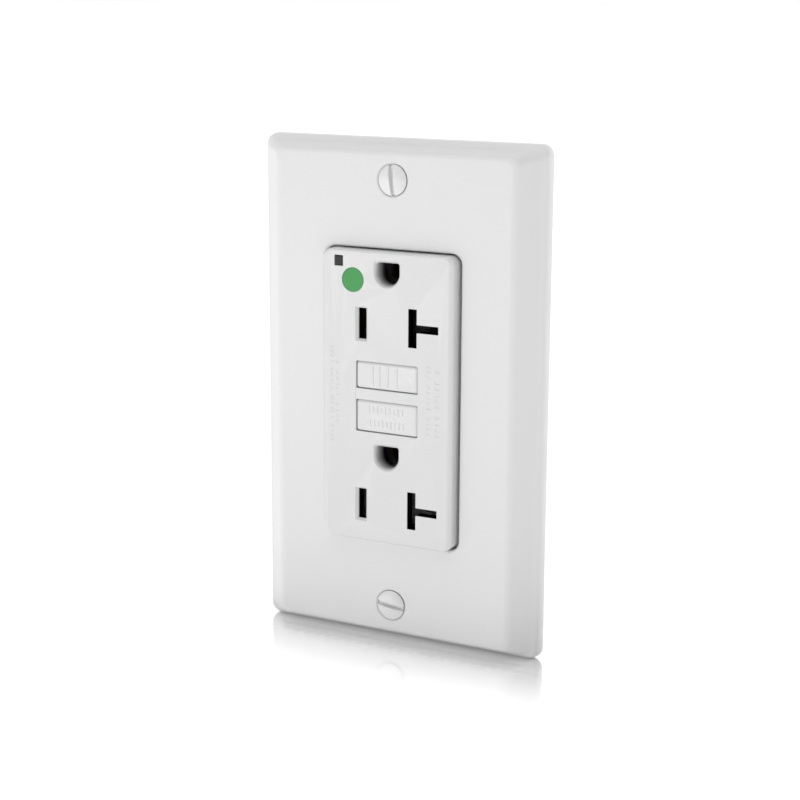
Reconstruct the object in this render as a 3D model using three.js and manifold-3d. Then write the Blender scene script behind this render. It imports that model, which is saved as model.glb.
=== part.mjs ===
// Ground-fault receptacle, 20 A duplex, with its wall plate, as an assembly of separate pieces.
// Millimetres. +X right, +Y into the wall, +Z up. The origin is the centre of the receptacle's
// front face, on the web between the two buttons. Every y below is counted from the wall plane:
// negative in front of it, positive in the box.
import * as THREE from "three";
import { mergeVertices } from "three/addons/utils/BufferGeometryUtils.js";
import Module from "manifold-3d";

const wasm = await Module();
wasm.setup();

// ---------------------------------------------------------------- driving dimensions
const PLATE_W = 69.85, PLATE_H = 114.3, PLATE_T = 6.8; // standard one-gang wall plate
const OPENING_W = 33.5, OPENING_H = 66.8; // rectangular opening of the plate
const PLATE_SCREW_Z = 48.41; // 96.8 mm between the plate screws
const BOX_SCREW_Z = 41.67; // 83.3 mm between the box screws
const FACE_PROUD = 9.2; // front face of the receptacle, in front of the wall
const FRONT = -FACE_PROUD;
const FACE_BACK = -6.6; // back of the receptacle's face
const NOSE_W = 32.2, NOSE_H = 65.6; // the part of the front cover that shows through the plate
const BODY_W = 42.8, BODY_H = 71.8; // housing behind the plate
const Y_COVER = -3.2; // front of the cover's wide part
const Y_SPLIT_1 = 3.0; // between the cover and the middle housing
const Y_SPLIT_2 = 10.6; // between the middle housing and the rear body
const Y_REAR = 30.0;
const FLOOR = 9.2; // front of the middle housing's floor
const BLADE_LINES = [16.7, -24.6]; // z of each outlet's blades
const BLADE_X = 6.35; // blades 12.7 mm apart
const GROUND_UP = 11.55; // ground pin above its blade line
const GROUND_LINES = BLADE_LINES.map((z) => z + GROUND_UP);
const GROUND_SCREW = [5.2, 25.3]; // y, z
const TERMINAL_Z = 14, TERMINAL_Y = 16; // side terminals, mirrored on all four corners
const RESET_Z = -3.8, TEST_Z = 5.2;
const COIL_Y = 18.5; // solenoid axis
const SENSOR = [0, -19]; // x, z
const ASSEMBLY_X = 18.0, ASSEMBLY_Z = 32.6; // assembly screws
const GREEN_DOT = [-8.5, 26.35], LED = [-12.05, 30.4]; // x, z
const CONTACT_X = 6.3, CONTACT_Z = -0.8; // contact studs
const PART_BACK = 23.1, LEAD_END = 23.15; // just short of the circuit board

const SIDES = [-1, 1]; // left, right
const ENDS = [1, -1]; // upper, lower
const CORNERS = SIDES.flatMap((side) => SIDES.map((end) => [side, end]));

// ---------------------------------------------------------------- outlines and spans
const about = (centre, half) => [centre - half, centre + half];
const sided = (side, lo, hi) => (side > 0 ? [lo, hi] : [-hi, -lo]); // mirrored if side is -1
const rect = ([u0, u1], [v0, v1]) => [[u0, v0], [u1, v0], [u1, v1], [u0, v1]];
const onCircle = (radius, t, [u, v]) => [u + radius * Math.cos(t), v + radius * Math.sin(t)];
const ring = (radius, n, centre = [0, 0]) =>
  Array.from({ length: n }, (_, i) => onCircle(radius, ((i + 0.5) / n) * Math.PI * 2, centre));
const halfRing = (radius, start, n, centre) =>
  Array.from({ length: n + 1 }, (_, i) => onCircle(radius, start + (i / n) * Math.PI, centre));

// Rectangle with rounded corners, each corner in n steps
function rounded(halfU, halfV, radius, n = 3, [u, v] = [0, 0]) {
  const out = [];
  [[1, 1], [-1, 1], [-1, -1], [1, -1]].forEach(([signU, signV], quadrant) => {
    const centre = [u + signU * (halfU - radius), v + signV * (halfV - radius)];
    for (let i = 0; i <= n; i++) {
      out.push(onCircle(radius, ((quadrant + i / n) * Math.PI) / 2, centre));
    }
  });
  return out;
}
const bodyOutline = (inset, radius) => rounded(BODY_W / 2 - inset, BODY_H / 2 - inset, radius);

// ---------------------------------------------------------------- solid helpers
// Closed manifold from a geometry, turned outside out if its faces point inward
function solid(geometry) {
  const bare = geometry.clone();
  for (const name of ["normal", "uv"]) if (bare.getAttribute(name)) bare.deleteAttribute(name);
  const merged = mergeVertices(bare, 1e-4);
  const build = (triangles) => new wasm.Manifold(new wasm.Mesh({
    numProp: 3,
    vertProperties: new Float32Array(merged.attributes.position.array),
    triVerts: new Uint32Array(triangles.flat()),
  }));
  const from = merged.index.array, triangles = [];
  for (let i = 0; i < from.length; i += 3) {
    const [a, b, c] = [from[i], from[i + 1], from[i + 2]];
    if (a !== b && b !== c && a !== c) triangles.push([a, b, c]);
  }
  const made = build(triangles);
  return made.volume() >= 0 ? made : build(triangles.map(([a, b, c]) => [a, c, b]));
}

const join = (...parts) => parts.reduce((a, b) => a.add(b));
const cut = (part, ...tools) => tools.reduce((a, b) => a.subtract(b), part);

// Spans along x, y and z
function box(...spans) {
  const sizes = spans.map(([lo, hi]) => Math.abs(hi - lo));
  const centre = spans.map(([lo, hi]) => (lo + hi) / 2);
  return solid(new THREE.BoxGeometry(...sizes).translate(...centre));
}

const OUTLINE_PLANE = {
  X: new THREE.Matrix4().set(0, 0, 1, 0, 1, 0, 0, 0, 0, 1, 0, 0, 0, 0, 0, 1), // outline (y, z)
  Y: new THREE.Matrix4().set(1, 0, 0, 0, 0, 0, -1, 0, 0, 1, 0, 0, 0, 0, 0, 1), // outline (x, z)
  Z: new THREE.Matrix4(), // outline (x, y)
};
// Outline extruded along an axis, with an optional hole
function slab(axis, outline, [lo, hi], hole) {
  const vectors = (points) => points.map(([u, v]) => new THREE.Vector2(u, v));
  const shape = new THREE.Shape(vectors(outline));
  if (hole) shape.holes.push(new THREE.Path(vectors(hole)));
  const g = new THREE.ExtrudeGeometry(shape, { depth: hi - lo, bevelEnabled: false });
  g.applyMatrix4(OUTLINE_PLANE[axis]);
  if (axis === "X") g.translate(lo, 0, 0);
  if (axis === "Y") g.translate(0, hi, 0); // the Y matrix extrudes toward -Y
  if (axis === "Z") g.translate(0, 0, lo);
  return solid(g);
}
const rod = (axis, centre, radius, span, n) => slab(axis, ring(radius, n, centre), span);

// A closed skin through convex outlines of equal length, each level [outline (x, z), y]
function loft(...levels) {
  const n = levels[0][0].length, positions = [], index = [];
  for (const [outline, y] of levels) for (const [x, z] of outline) positions.push(x, y, z);
  for (let k = 0; k < levels.length - 1; k++) {
    for (let i = 0; i < n; i++) {
      const a = k * n + i, b = k * n + ((i + 1) % n), c = a + n, d = b + n;
      index.push(a, c, b, b, c, d);
    }
  }
  const last = (levels.length - 1) * n;
  for (let i = 1; i < n - 1; i++) {
    index.push(0, i, i + 1);
    index.push(last, last + i + 1, last + i);
  }
  const g = new THREE.BufferGeometry();
  g.setAttribute("position", new THREE.Float32BufferAttribute(positions, 3));
  g.setIndex(index);
  return solid(g);
}
const cone = (centre, [r0, y0], [r1, y1], n) =>
  loft([ring(r0, n, centre), y0], [ring(r1, n, centre), y1]);

// Turned piece along +Y, profile [radius, y] starting and ending on the axis
const turned = (profile, n) =>
  solid(new THREE.LatheGeometry(profile.map(([r, y]) => new THREE.Vector2(r, y)), n));

class Helix extends THREE.Curve {
  constructor(radius, [from, to], turns, axis) {
    super();
    Object.assign(this, { radius, from, to, turns, axis });
  }
  getPoint(t, out = new THREE.Vector3()) {
    const along = this.from + (this.to - this.from) * t;
    const [u, v] = onCircle(this.radius, t * this.turns * Math.PI * 2, [0, 0]);
    return this.axis === "Y" ? out.set(u, along, v) : out.set(u, v, along);
  }
}
function spring({ radius, wire, span, turns, axis }) {
  const shape = new THREE.Shape(ring(wire, 5).map(([u, v]) => new THREE.Vector2(u, v)));
  return solid(new THREE.ExtrudeGeometry(shape, {
    steps: Math.round(turns * 8),
    bevelEnabled: false,
    extrudePath: new Helix(radius, span, turns, axis),
  }));
}

// ---------------------------------------------------------------- finishes
const WHITE_PLATE = { color: 0xeeeeec, roughness: 0.22 };
const WHITE_DEVICE = { color: 0xe9e9e8, roughness: 0.32 };
const WHITE_SCREW = { color: 0xeeeeee, roughness: 0.3 };
const DARK_LENS = { color: 0x2f2f30, roughness: 0.25 };
const GREEN = { color: 0x54b062, roughness: 0.45 };
const GREY_BODY = { color: 0x4b4e52, roughness: 0.5 };
const MID_GREY = { color: 0xb9bbba, roughness: 0.45 };
const ZINC = { color: 0xb8bcc0, roughness: 0.35, metalness: 1 };
const BRASS = { color: 0xc9a24c, roughness: 0.32, metalness: 1 };
const SILVER = { color: 0xc9cacb, roughness: 0.3, metalness: 1 };
const GREEN_METAL = { color: 0x2f7d4a, roughness: 0.4, metalness: 0.8 };
const COPPER = { color: 0xb4693a, roughness: 0.4, metalness: 1 };
const STEEL = { color: 0x8f9296, roughness: 0.38, metalness: 1 };
const BOARD = { color: 0x1f5a36, roughness: 0.5 };
const BLACK = { color: 0x1b1b1c, roughness: 0.5 };
const BLUE = { color: 0x2c5fa8, roughness: 0.45 };
const YELLOW = { color: 0xc8a640, roughness: 0.5 };
const TAN = { color: 0xc9b38a, roughness: 0.5 };
const FIBRE = { color: 0x5b3a2a, roughness: 0.8 };
const RED = { color: 0x9a2b22, roughness: 0.3 };

const POLES = [["hot", -1, BRASS], ["neutral", 1, SILVER]]; // name, side, finish

const object = new THREE.Group();
const device = new THREE.Group(); // everything, counted from the wall plane
device.position.set(0, FACE_PROUD, 0);
object.add(device);

function add(name, part, look, parent = device) {
  const { vertProperties, triVerts } = part.getMesh();
  const g = new THREE.BufferGeometry();
  g.setAttribute("position", new THREE.Float32BufferAttribute(vertProperties, 3));
  g.setIndex(new THREE.Uint32BufferAttribute(triVerts, 1));
  g.computeVertexNormals();
  const mesh = new THREE.Mesh(g, new THREE.MeshStandardMaterial(look));
  mesh.name = name;
  parent.add(mesh);
  return mesh;
}

// ---------------------------------------------------------------- wall plate
// Wide bevels on the two sides, steep ones at the top and the bottom.
// Columns: inset of the sides, inset of the ends, distance in front of the wall, corner radius
const PLATE_LEVELS = [
  [0, 0, 0, 2.6], [0.15, 0.15, 1.5, 2.5], [0.6, 0.6, 2.45, 2.3], [1.5, 1.35, 2.98, 2.1],
  [5.0, 2.4, 6.02, 2.1], [5.6, 2.72, 6.45, 2.0], [6.7, 3.6, PLATE_T, 1.9],
];
function wallPlate() {
  const outer = loft(...PLATE_LEVELS.map(([sideInset, endInset, depth, radius]) =>
    [rounded(PLATE_W / 2 - sideInset, PLATE_H / 2 - endInset, radius), -depth]));
  const hollow = loft(
    [rounded(33.0, 55.2, 1.6), 0.5],
    [rounded(32.5, 54.7, 1.5), -1.4],
    [rounded(28.8, 52.2, 1.0), -4.1]);
  const bosses = ENDS.map((end) => rod("Y", [0, end * PLATE_SCREW_Z], 2.95, [-4.6, -1.45], 20));
  const ribs = [-25, 25].flatMap((x) =>
    ENDS.map((end) => box(about(x, 0.6), [-4.6, -1.7], sided(end, 38, 53))));
  const screwHoles = ENDS.map((end) => [0, end * PLATE_SCREW_Z]).flatMap((centre) => [
    rod("Y", centre, 1.95, [-7, 1], 20),
    cone(centre, [3.72, -PLATE_T - 0.1], [1.95, -4.7], 20)]);
  return cut(
    join(cut(outer, hollow), ...[...bosses, ...ribs].map((part) => part.intersect(outer))),
    slab("Y", rounded(OPENING_W / 2, OPENING_H / 2, 2.3), [-8, 2]),
    ...screwHoles);
}
add("wall_plate", wallPlate(), WHITE_PLATE);

// Oval-head slotted plate screw, its own axis on +Y, seated by its level at y = -6
const PLATE_SCREW_PROFILE = [
  [0, -6.75], [1.6, -6.64], [2.7, -6.32], [3.42, -5.9], [1.72, -4.0],
  [1.6, -3.8], [1.6, 3.0], [1.05, 3.6], [0, 3.6],
];
const plateScrew = cut(
  turned(PLATE_SCREW_PROFILE, 14),
  box(about(0, 5), [-8, -5.55], about(0, 0.5)));
for (const [place, end, turn] of [["upper", 1, 1.47], ["lower", -1, 0.12]]) {
  const screw = add(`plate_screw_${place}`, plateScrew, WHITE_SCREW);
  screw.position.set(0, 6.0 - PLATE_T, end * PLATE_SCREW_Z);
  screw.rotation.y = turn;
}

// ---------------------------------------------------------------- front cover
const assemblyRods = (radius, span, n) => CORNERS.map(([side, end]) =>
  rod("Y", [side * ASSEMBLY_X, end * ASSEMBLY_Z], radius, span, n));
const tabNotch = (x, y) => box(x, y, about(GROUND_SCREW[1], 3.6)); // way for the grounding tab

function groundOutline(z, inset) { // flat on top, round below
  const radius = 3.25 - inset, top = z + 2.82 - inset;
  return [...halfRing(radius, Math.PI, 10, [0, z]), [radius, top], [-radius, top]];
}

const FACE_CUT = [-11, -4]; // right through the face
// Left upright slot, right T-shaped slot and ground hole of one outlet
function outletOpenings(z) {
  const slot = rect(about(-BLADE_X, 0.95), about(z, 3.45));
  const [left, right] = about(BLADE_X, 1.05);
  const ground = groundOutline(z + GROUND_UP, 0.5);
  return [
    loft([rect(about(-BLADE_X, 1.6), [z - 4.0, z + 3.95]), FRONT - 0.06],
      [slot, FRONT + 0.65], [slot, -4]),
    slab("Y", [[left, z - 4.3], [right, z - 4.3], [right, z - 0.92], [12.65, z - 0.92],
      [12.65, z + 0.88], [right, z + 0.88], [right, z + 4.3], [left, z + 4.3]], FACE_CUT),
    loft([groundOutline(z + GROUND_UP, -0.04), FRONT - 0.06], [ground, FRONT + 0.7], [ground, -4]),
  ];
}

function frontCover() {
  const nose = (sideInset, endInset, radius) =>
    rounded(NOSE_W / 2 - sideInset, NOSE_H / 2 - endInset, radius);
  const outer = join(
    loft([nose(1.15, 0.32, 1.5), FRONT], [nose(0.6, 0.15, 1.8), FRONT + 0.2],
      [nose(0.15, 0.05, 2.0), FRONT + 0.7], [nose(0, 0, 2.1), FRONT + 1.6],
      [nose(0, 0, 2.1), Y_COVER + 0.5]),
    loft([bodyOutline(0.4, 2.3), Y_COVER], [bodyOutline(0, 2.5), Y_COVER + 0.4],
      [bodyOutline(0, 2.5), Y_SPLIT_1]));
  const hollow = join(
    slab("Y", rounded(14.9, 31.6, 1.5), [FACE_BACK, -1.5]),
    slab("Y", bodyOutline(1.5, 1.5), [-1.6, Y_SPLIT_1 + 0.5]));
  const groundWells = GROUND_LINES.map((z) =>
    slab("Y", groundOutline(z, -0.6), [FACE_BACK - 0.3, -5.2]));
  const bodyBlock = slab("Y", bodyOutline(0, 2.5), [-3, 4]);
  const posts = assemblyRods(2.5, [-2.0, Y_SPLIT_1 - 0.1], 10)
    .map((post) => post.intersect(bodyBlock));
  const edge = [-1.5, Y_SPLIT_1 + 1];
  return cut(join(cut(outer, hollow), ...groundWells, ...posts),
    ...BLADE_LINES.flatMap(outletOpenings),
    slab("Y", rect(about(0, 7.75), [2.05, 8.35]), FACE_CUT), // test button
    slab("Y", rect(about(0, 7.75), [-7.75, -0.4]), FACE_CUT), // reset button
    slab("Y", rect(about(LED[0], 1.1), about(LED[1], 1.2)), FACE_CUT),
    rod("Y", GREEN_DOT, 2.75, [-11, FRONT + 0.35], 20),
    ...ENDS.map((end) => box(about(0, 13.9), edge, sided(end, 33, 37))), // strap leaves here
    tabNotch([18.4, 23], edge),
    ...assemblyRods(1.15, [-1.2, 4], 8));
}
add("front_cover", frontCover(), WHITE_DEVICE);

// ---------------------------------------------------------------- buttons, lamp window, dot
const FLANGE_Y = [FACE_BACK + 0.3, -5.2]; // behind the face
const RAISED_Y = [FRONT + 0.03, -8]; // marks on the buttons

function buttonFace([bottom, top]) {
  const centre = [0, (bottom + top) / 2], half = (top - bottom) / 2;
  const full = rounded(7.6, half, 0.35, 2, centre);
  return join(
    loft([rounded(7.35, half - 0.25, 0.25, 2, centre), FRONT + 0.12],
      [full, FRONT + 0.4], [full, -6]),
    box(about(0, 8.5), FLANGE_Y, [bottom - 0.5, top + 0.5]));
}
const testRibs = [[-3.0, -1.0], [1.0, 3.0]].map((x) => box(x, RAISED_Y, [2.45, 7.95]));
add("test_button", join(
  buttonFace([2.2, 8.2]),
  ...testRibs,
  rod("Y", [0, TEST_Z], 1.3, [-5.4, 3.0], 12),
  cone([0, TEST_Z], [1.3, 3.0], [0.5, 4.12], 12)), WHITE_DEVICE);
const resetPips = [-2.5, -5.6].flatMap((z) =>
  [-4.2, -2.1, 0, 2.1, 4.2].map((x) => box(about(x, 0.7), RAISED_Y, about(z, 0.3))));
add("reset_button", cut(
  join(buttonFace([-7.6, -0.55]), ...resetPips, rod("Y", [0, RESET_Z], 1.6, [-5.4, -3.4], 12)),
  rod("Y", [0, RESET_Z], 1.05, [-6.6, -3], 12)), WHITE_DEVICE);
add("led_light_pipe", join(
  box(about(LED[0], 1.0), [FRONT + 0.1, -6.1], about(LED[1], 1.1)),
  box(about(LED[0], 1.5), FLANGE_Y, about(LED[1], 1.1)),
  rod("Y", LED, 1.05, [-5.4, 19.4], 10)), DARK_LENS);
add("status_led", join(
  rod("Y", LED, 1.5, [20.6, LEAD_END], 12),
  cone(LED, [0.7, 19.6], [1.45, 20.7], 12)), RED);
add("green_dot", rod("Y", GREEN_DOT, 2.68, [FRONT + 0.03, FRONT + 0.33], 20), GREEN);

// ---------------------------------------------------------------- mounting strap and grounding
const STRAP_FRONT = -1.2;
const STRAP_BACK = -0.1; // the ear pads stand on to the wall plane
const STRAP_CUT = [-2, 1]; // right through the strap
// Upper right quarter of the outline, x and z, from the waist to the top
const STRAP_QUARTER = [
  [19, 28.4], [15, 28.4], [15, 33.4], [13.5, 33.4], [13.5, 37.6], [19.8, 37.6],
  [19.8, 46], [11, 46], [9.5, 47.5], [9.5, 51], [7.5, 53],
];
function mountingStrap() {
  const back = [...STRAP_QUARTER].reverse();
  const outline = [
    ...STRAP_QUARTER, ...back.map(([x, z]) => [-x, z]),
    ...STRAP_QUARTER.map(([x, z]) => [-x, -z]), ...back.map(([x, z]) => [x, -z])];
  const screwOpenings = (end) => [
    slab("Y", [
      ...halfRing(2.05, -Math.PI / 2, 5, [1.4, end * BOX_SCREW_Z]),
      ...halfRing(2.05, Math.PI / 2, 5, [-1.4, end * BOX_SCREW_Z])], STRAP_CUT),
    rod("Y", [0, end * PLATE_SCREW_Z], 1.75, STRAP_CUT, 12)];
  const earSlots = CORNERS.flatMap(([side, end]) => [[39.0, 41.2], [42.4, 44.6]].map((z) =>
    box(sided(side, 12.1, 13.0), STRAP_CUT, sided(end, ...z))));
  const sheet = cut(slab("Y", outline, [STRAP_FRONT, STRAP_BACK]),
    slab("Y", rect(about(0, 13.4), [-9.6, 23.4]), STRAP_CUT),
    slab("Y", rect(about(0, 13.4), [-30.2, -18.4]), STRAP_CUT),
    box([-16, -10.3], STRAP_CUT, [28.55, 32.2]), // clears the light pipe
    ...GROUND_LINES.map((z) => rod("Y", [0, z], 3.3, STRAP_CUT, 16)),
    ...ENDS.flatMap(screwOpenings),
    ...earSlots);
  const earPads = CORNERS.map(([side, end]) =>
    box(sided(side, 14.2, 19.4), [STRAP_BACK - 0.3, 0], sided(end, 38.2, 45.4)));
  const tabZ = about(GROUND_SCREW[1], 2.9);
  const tab = cut(
    join(box([18.2, 20.35], [STRAP_FRONT, STRAP_BACK], tabZ),
      box([19.15, 20.35], [STRAP_FRONT, 9.5], tabZ)),
    rod("X", GROUND_SCREW, 2.1, [18, 22], 16));
  return join(sheet, ...earPads, tab);
}
add("mounting_strap", mountingStrap(), ZINC);

// Ring behind the strap, with leaves on both sides and above the ground pin
function groundContact(z) {
  const leafY = [0.4, 8.6];
  return join(
    cut(box(about(0, 5.2), [0.15, 0.75], about(z, 3.4)), rod("Y", [0, z], 2.9, [-1, 2], 16)),
    ...SIDES.map((side) => box(sided(side, 2.62, 3.22), leafY, about(z, 2.6))),
    box(about(0, 3.22), leafY, [z + 3.0, z + 3.4]),
    ...SIDES.map((side) => box(sided(side, 2.62, 3.22), leafY, [z + 2.4, z + 3.2])));
}
add("ground_contact_upper", groundContact(GROUND_LINES[0]), BRASS);
add("ground_contact_lower", groundContact(GROUND_LINES[1]), BRASS);

add("self_ground_clip", join(
  box(about(0, 2.9), [0.1, 0.5], [36.7, 39.2]),
  ...SIDES.flatMap((side) => [
    box(sided(side, 2.3, 2.9), [0.1, 0.5], [38.8, 43.6]),
    box(sided(side, 2.4, 2.9), [0.1, 2.4], [40.4, 43.0])])), BRASS);

const BOX_SCREW_PROFILE = [
  [0, -3.35], [1.8, -3.3], [3.0, -2.75], [3.35, -2.0], [3.35, -1.35],
  [1.6, -1.35], [1.6, 15.2], [1.0, 16], [0, 16],
];
const boxScrew = cut(
  turned(BOX_SCREW_PROFILE, 12),
  box(about(0, 4.5), [-4, -2.35], about(0, 0.45)));
for (const [place, end] of [["upper", 1], ["lower", -1]]) {
  const screw = add(`mounting_screw_${place}`, boxScrew, ZINC);
  screw.position.z = end * BOX_SCREW_Z;
  screw.rotation.y = end * 0.5;
}
for (const [place, end, y] of [["upper", 1, 2.9], ["lower", -1, 0.25]]) {
  const centre = [0, end * BOX_SCREW_Z];
  add(`screw_retainer_${place}`, cut(
    slab("Y", rounded(3.6, 3.2, 0.8, 2, centre), [y, y + 0.8]),
    rod("Y", centre, 1.75, [0, 5], 14)), FIBRE);
}
// Hexagonal grounding screw, its own axis on +X
add("ground_screw", cut(
  join(rod("X", [0, 0], 4.25, [21.9, 24.1], 6), rod("X", [0, 0], 4.1, [21.7, 22.2], 16),
    rod("X", [0, 0], 1.95, [17.9, 22], 14)),
  box([22.9, 25], about(0, 0.5), about(0, 5))), GREEN_METAL).position.set(0, ...GROUND_SCREW);

// ---------------------------------------------------------------- housings
function middleHousing() {
  const outline = bodyOutline(0.1, 2.5), front = Y_SPLIT_1 + 0.25;
  const bodyBlock = slab("Y", outline, [0, 12]);
  const posts = assemblyRods(2.5, [front, FLOOR + 0.5], 10)
    .map((post) => post.intersect(bodyBlock));
  const wallY = [5, FLOOR + 0.3], floorCut = [8, 12];
  return cut(
    join(
      cut(slab("Y", outline, [front, Y_SPLIT_2]),
        slab("Y", bodyOutline(1.7, 1.5), [Y_SPLIT_1, FLOOR])),
      ...posts,
      ...[-3.6, 3.6].flatMap((x) => [[10.2, 22.4], [-30.5, -18.6]].map((z) =>
        box(about(x, 0.4), wallY, z))),
      box([-9.2, -8.1], wallY, [3.2, 7.2])),
    ...assemblyRods(1.5, [2, 12], 8),
    ...GROUND_LINES.map((z) => rod("Y", [0, z], 2.9, floorCut, 16)),
    rod("Y", [0, RESET_Z], 1.5, floorCut, 14),
    rod("Y", LED, 1.5, floorCut, 12),
    ...SIDES.flatMap((side) => [
      rod("Y", [side * CONTACT_X, CONTACT_Z], 2.0, floorCut, 14),
      box(sided(side, 14.7, 16.3), floorCut, about(TERMINAL_Z, 3.8))]),
    tabNotch([18.85, 23], [2, 9.85]));
}
add("middle_housing", middleHousing(), MID_GREY);

function rearBody() {
  const front = Y_SPLIT_2 + 0.3;
  const outer = loft([bodyOutline(0.1, 2.5), front], [bodyOutline(0.7, 2.4), 29.0],
    [bodyOutline(1.3, 2.0), Y_REAR]);
  const hollow = loft([bodyOutline(1.8, 1.5), Y_SPLIT_2 - 0.2], [bodyOutline(2.5, 1.3), 28.2]);
  const blocks = CORNERS.map(([side, end]) =>
    box(sided(side, 12.3, 20.9), [front, 28.6], about(end * TERMINAL_Z, 5.7)));
  const inside = [...blocks, ...assemblyRods(2.5, [front, 28.6], 10)]
    .map((part) => part.intersect(outer));
  const terminalCuts = ([side, end]) => [
    // terminal pocket, open to the side
    box(sided(side, 14.8, 23), [Y_SPLIT_2, 21.2], about(end * TERMINAL_Z, 4.7)),
    // room for the screw's tip
    rod("X", [TERMINAL_Y, end * TERMINAL_Z], 2.4, sided(side, 12.75, 15), 10),
    // back-wiring holes
    ...[-2.75, 2.75].map((dz) =>
      rod("Y", [side * 16.95, end * (TERMINAL_Z + dz)], 1.4, [20, 31], 10)),
    // recess of the assembly screw's head
    box(sided(side, 15.3, 23), [28.4, 31], sided(end, 29.9, 37))];
  return cut(join(cut(outer, hollow), ...inside),
    ...CORNERS.flatMap(terminalCuts),
    ...assemblyRods(1.5, [10, 31], 8),
    // notches for the line terminals
    ...SIDES.map((side) => box(sided(side, 12, 15), [Y_SPLIT_2, 12.2], about(-TERMINAL_Z, 2.6))));
}
add("rear_body", rearBody(), GREY_BODY);

const ASSEMBLY_SCREW_PROFILE = [
  [0, 0.1], [1.0, 0.5], [1.05, 28.45], [2.05, 28.45], [2.1, 29.3], [1.5, 29.9], [0, 30.0],
];
const assemblyScrew = cut(
  turned(ASSEMBLY_SCREW_PROFILE, 8),
  box(about(0, 0.3), [29.1, 31], about(0, 1.5)),
  box(about(0, 1.5), [29.1, 31], about(0, 0.3)));
CORNERS.forEach(([side, end], i) => {
  const screw = add(`assembly_screw_${i + 1}`, assemblyScrew, STEEL);
  screw.position.set(side * ASSEMBLY_X, 0, end * ASSEMBLY_Z);
});

// ---------------------------------------------------------------- conductors
const CLIP_Y = [1.6, 8.6], BUS_Y = [8.0, 8.6];
const INNER_LEAF = [4.85, 5.4], OUTER_LEAF = [7.3, 7.85], CLIP_X = [4.85, 7.85];
const LINK_X = [7.3, 10]; // from the clip to the bus

// Folded clip around one upright blade, on the left
const hotClip = (z) => [
  box(sided(-1, ...LINK_X), BUS_Y, [z - 3.2, z + 3.9]),
  box(sided(-1, ...OUTER_LEAF), CLIP_Y, [z - 3.2, z + 3.8]),
  box(sided(-1, ...INNER_LEAF), CLIP_Y, [z - 3.2, z + 3.8]),
  box(sided(-1, ...CLIP_X), CLIP_Y, [z + 3.35, z + 3.9]),
];
// Upright clip with a gap for the sideways blade, and two leaves along that blade
const neutralClip = (z) => [
  ...[[z + 1.3, z + 3.9], [z - 3.2, z - 1.3]].flatMap((part) => [
    box(LINK_X, BUS_Y, part), box(OUTER_LEAF, CLIP_Y, part)]),
  box(INNER_LEAF, CLIP_Y, [z - 3.2, z + 3.9]),
  box(CLIP_X, CLIP_Y, [z + 3.35, z + 3.9]),
  box([7.3, 13.2], CLIP_Y, [z + 1.3, z + 1.85]),
  box([7.3, 13.2], CLIP_Y, [z - 1.85, z - 1.3]),
];
// Upright plate with the hole for the terminal screw
const terminalPlate = (side, end, front) => cut(
  box(sided(side, 15.1, 15.9), [front, 20.6], about(end * TERMINAL_Z, 3.4)),
  rod("X", [TERMINAL_Y, end * TERMINAL_Z], 2.15, sided(side, 14, 17), 14));
// Clips for both outlets on one bus, a fixed contact stud and the load terminal
const loadContact = (side, clip) => join(
  box(sided(side, 9.3, 13.2), BUS_Y, [BLADE_LINES[1] - 3.2, BLADE_LINES[0] + 3.9]),
  box(sided(side, 4.7, 10), BUS_Y, [-2.4, 0.8]), // arm with the fixed contact
  rod("Y", [side * CONTACT_X, CONTACT_Z], 1.5, [8.3, 11.2], 12),
  box(sided(side, 12.8, 15.9), BUS_Y, about(TERMINAL_Z, 3.4)),
  terminalPlate(side, 1, BUS_Y[0]),
  ...BLADE_LINES.flatMap(clip));
add("load_contact_hot", loadContact(-1, hotClip), BRASS);
add("load_contact_neutral", loadContact(1, neutralClip), SILVER);

for (const [pole, side, look] of POLES) {
  const z = about(-TERMINAL_Z, 2);
  add(`line_terminal_${pole}`, join(
    terminalPlate(side, -1, 11.2),
    box(sided(side, 11.1, 15.9), [11.2, 11.8], z),
    box(sided(side, 11.1, 11.9), [11.2, LEAD_END], z)), look);
}

// Pressure clamp and binding screw of a right-hand terminal, about the terminal's own axis
const clampPlate = cut(
  box([18.0, 19.0], about(0, 4.4), about(0, 4.2)),
  rod("X", [0, 0], 2.35, [17, 20], 14),
  ...SIDES.map((side) => rod("Y", [17.75, side * 2.75], 0.75, [-6, 6], 8)));
const bindingHead = loft([ring(4.0, 14), 19.3], [ring(4.0, 14), 20.6], [ring(3.4, 14), 21.1])
  .rotate([0, 0, -90]); // from +Y to +X
const bindingScrew = cut(
  join(bindingHead, rod("X", [0, 0], 2.0, [15.0, 19.4], 10)),
  box([20.1, 22], about(0, 0.5), about(0, 5)),
  box([20.3, 22], about(0, 2.2), about(0, 0.45)));
for (const [circuit, end] of [["load", 1], ["line", -1]]) {
  for (const [pole, side, look] of POLES) {
    const terminal = new THREE.Group();
    terminal.position.set(0, TERMINAL_Y, end * TERMINAL_Z);
    terminal.rotation.z = side > 0 ? 0 : Math.PI;
    device.add(terminal);
    add(`wire_clamp_${circuit}_${pole}`, clampPlate, look, terminal);
    add(`terminal_screw_${circuit}_${pole}`, bindingScrew, look, terminal);
  }
}

// Through the sensor, up to the root of the contact arm
for (const [pole, side] of POLES) {
  const y = [11.2, 12.1], [bottom, top] = about(SENSOR[1], 0.8);
  add(`line_lead_${pole}`, join(
    rod("Y", [side * 1.5, SENSOR[1]], 0.9, [11.2, LEAD_END], 10),
    box(sided(side, 0.8, 8.0), y, [bottom, top]),
    box(sided(side, 4.8, 8.0), y, [bottom, -13.2])), COPPER);
}

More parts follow.
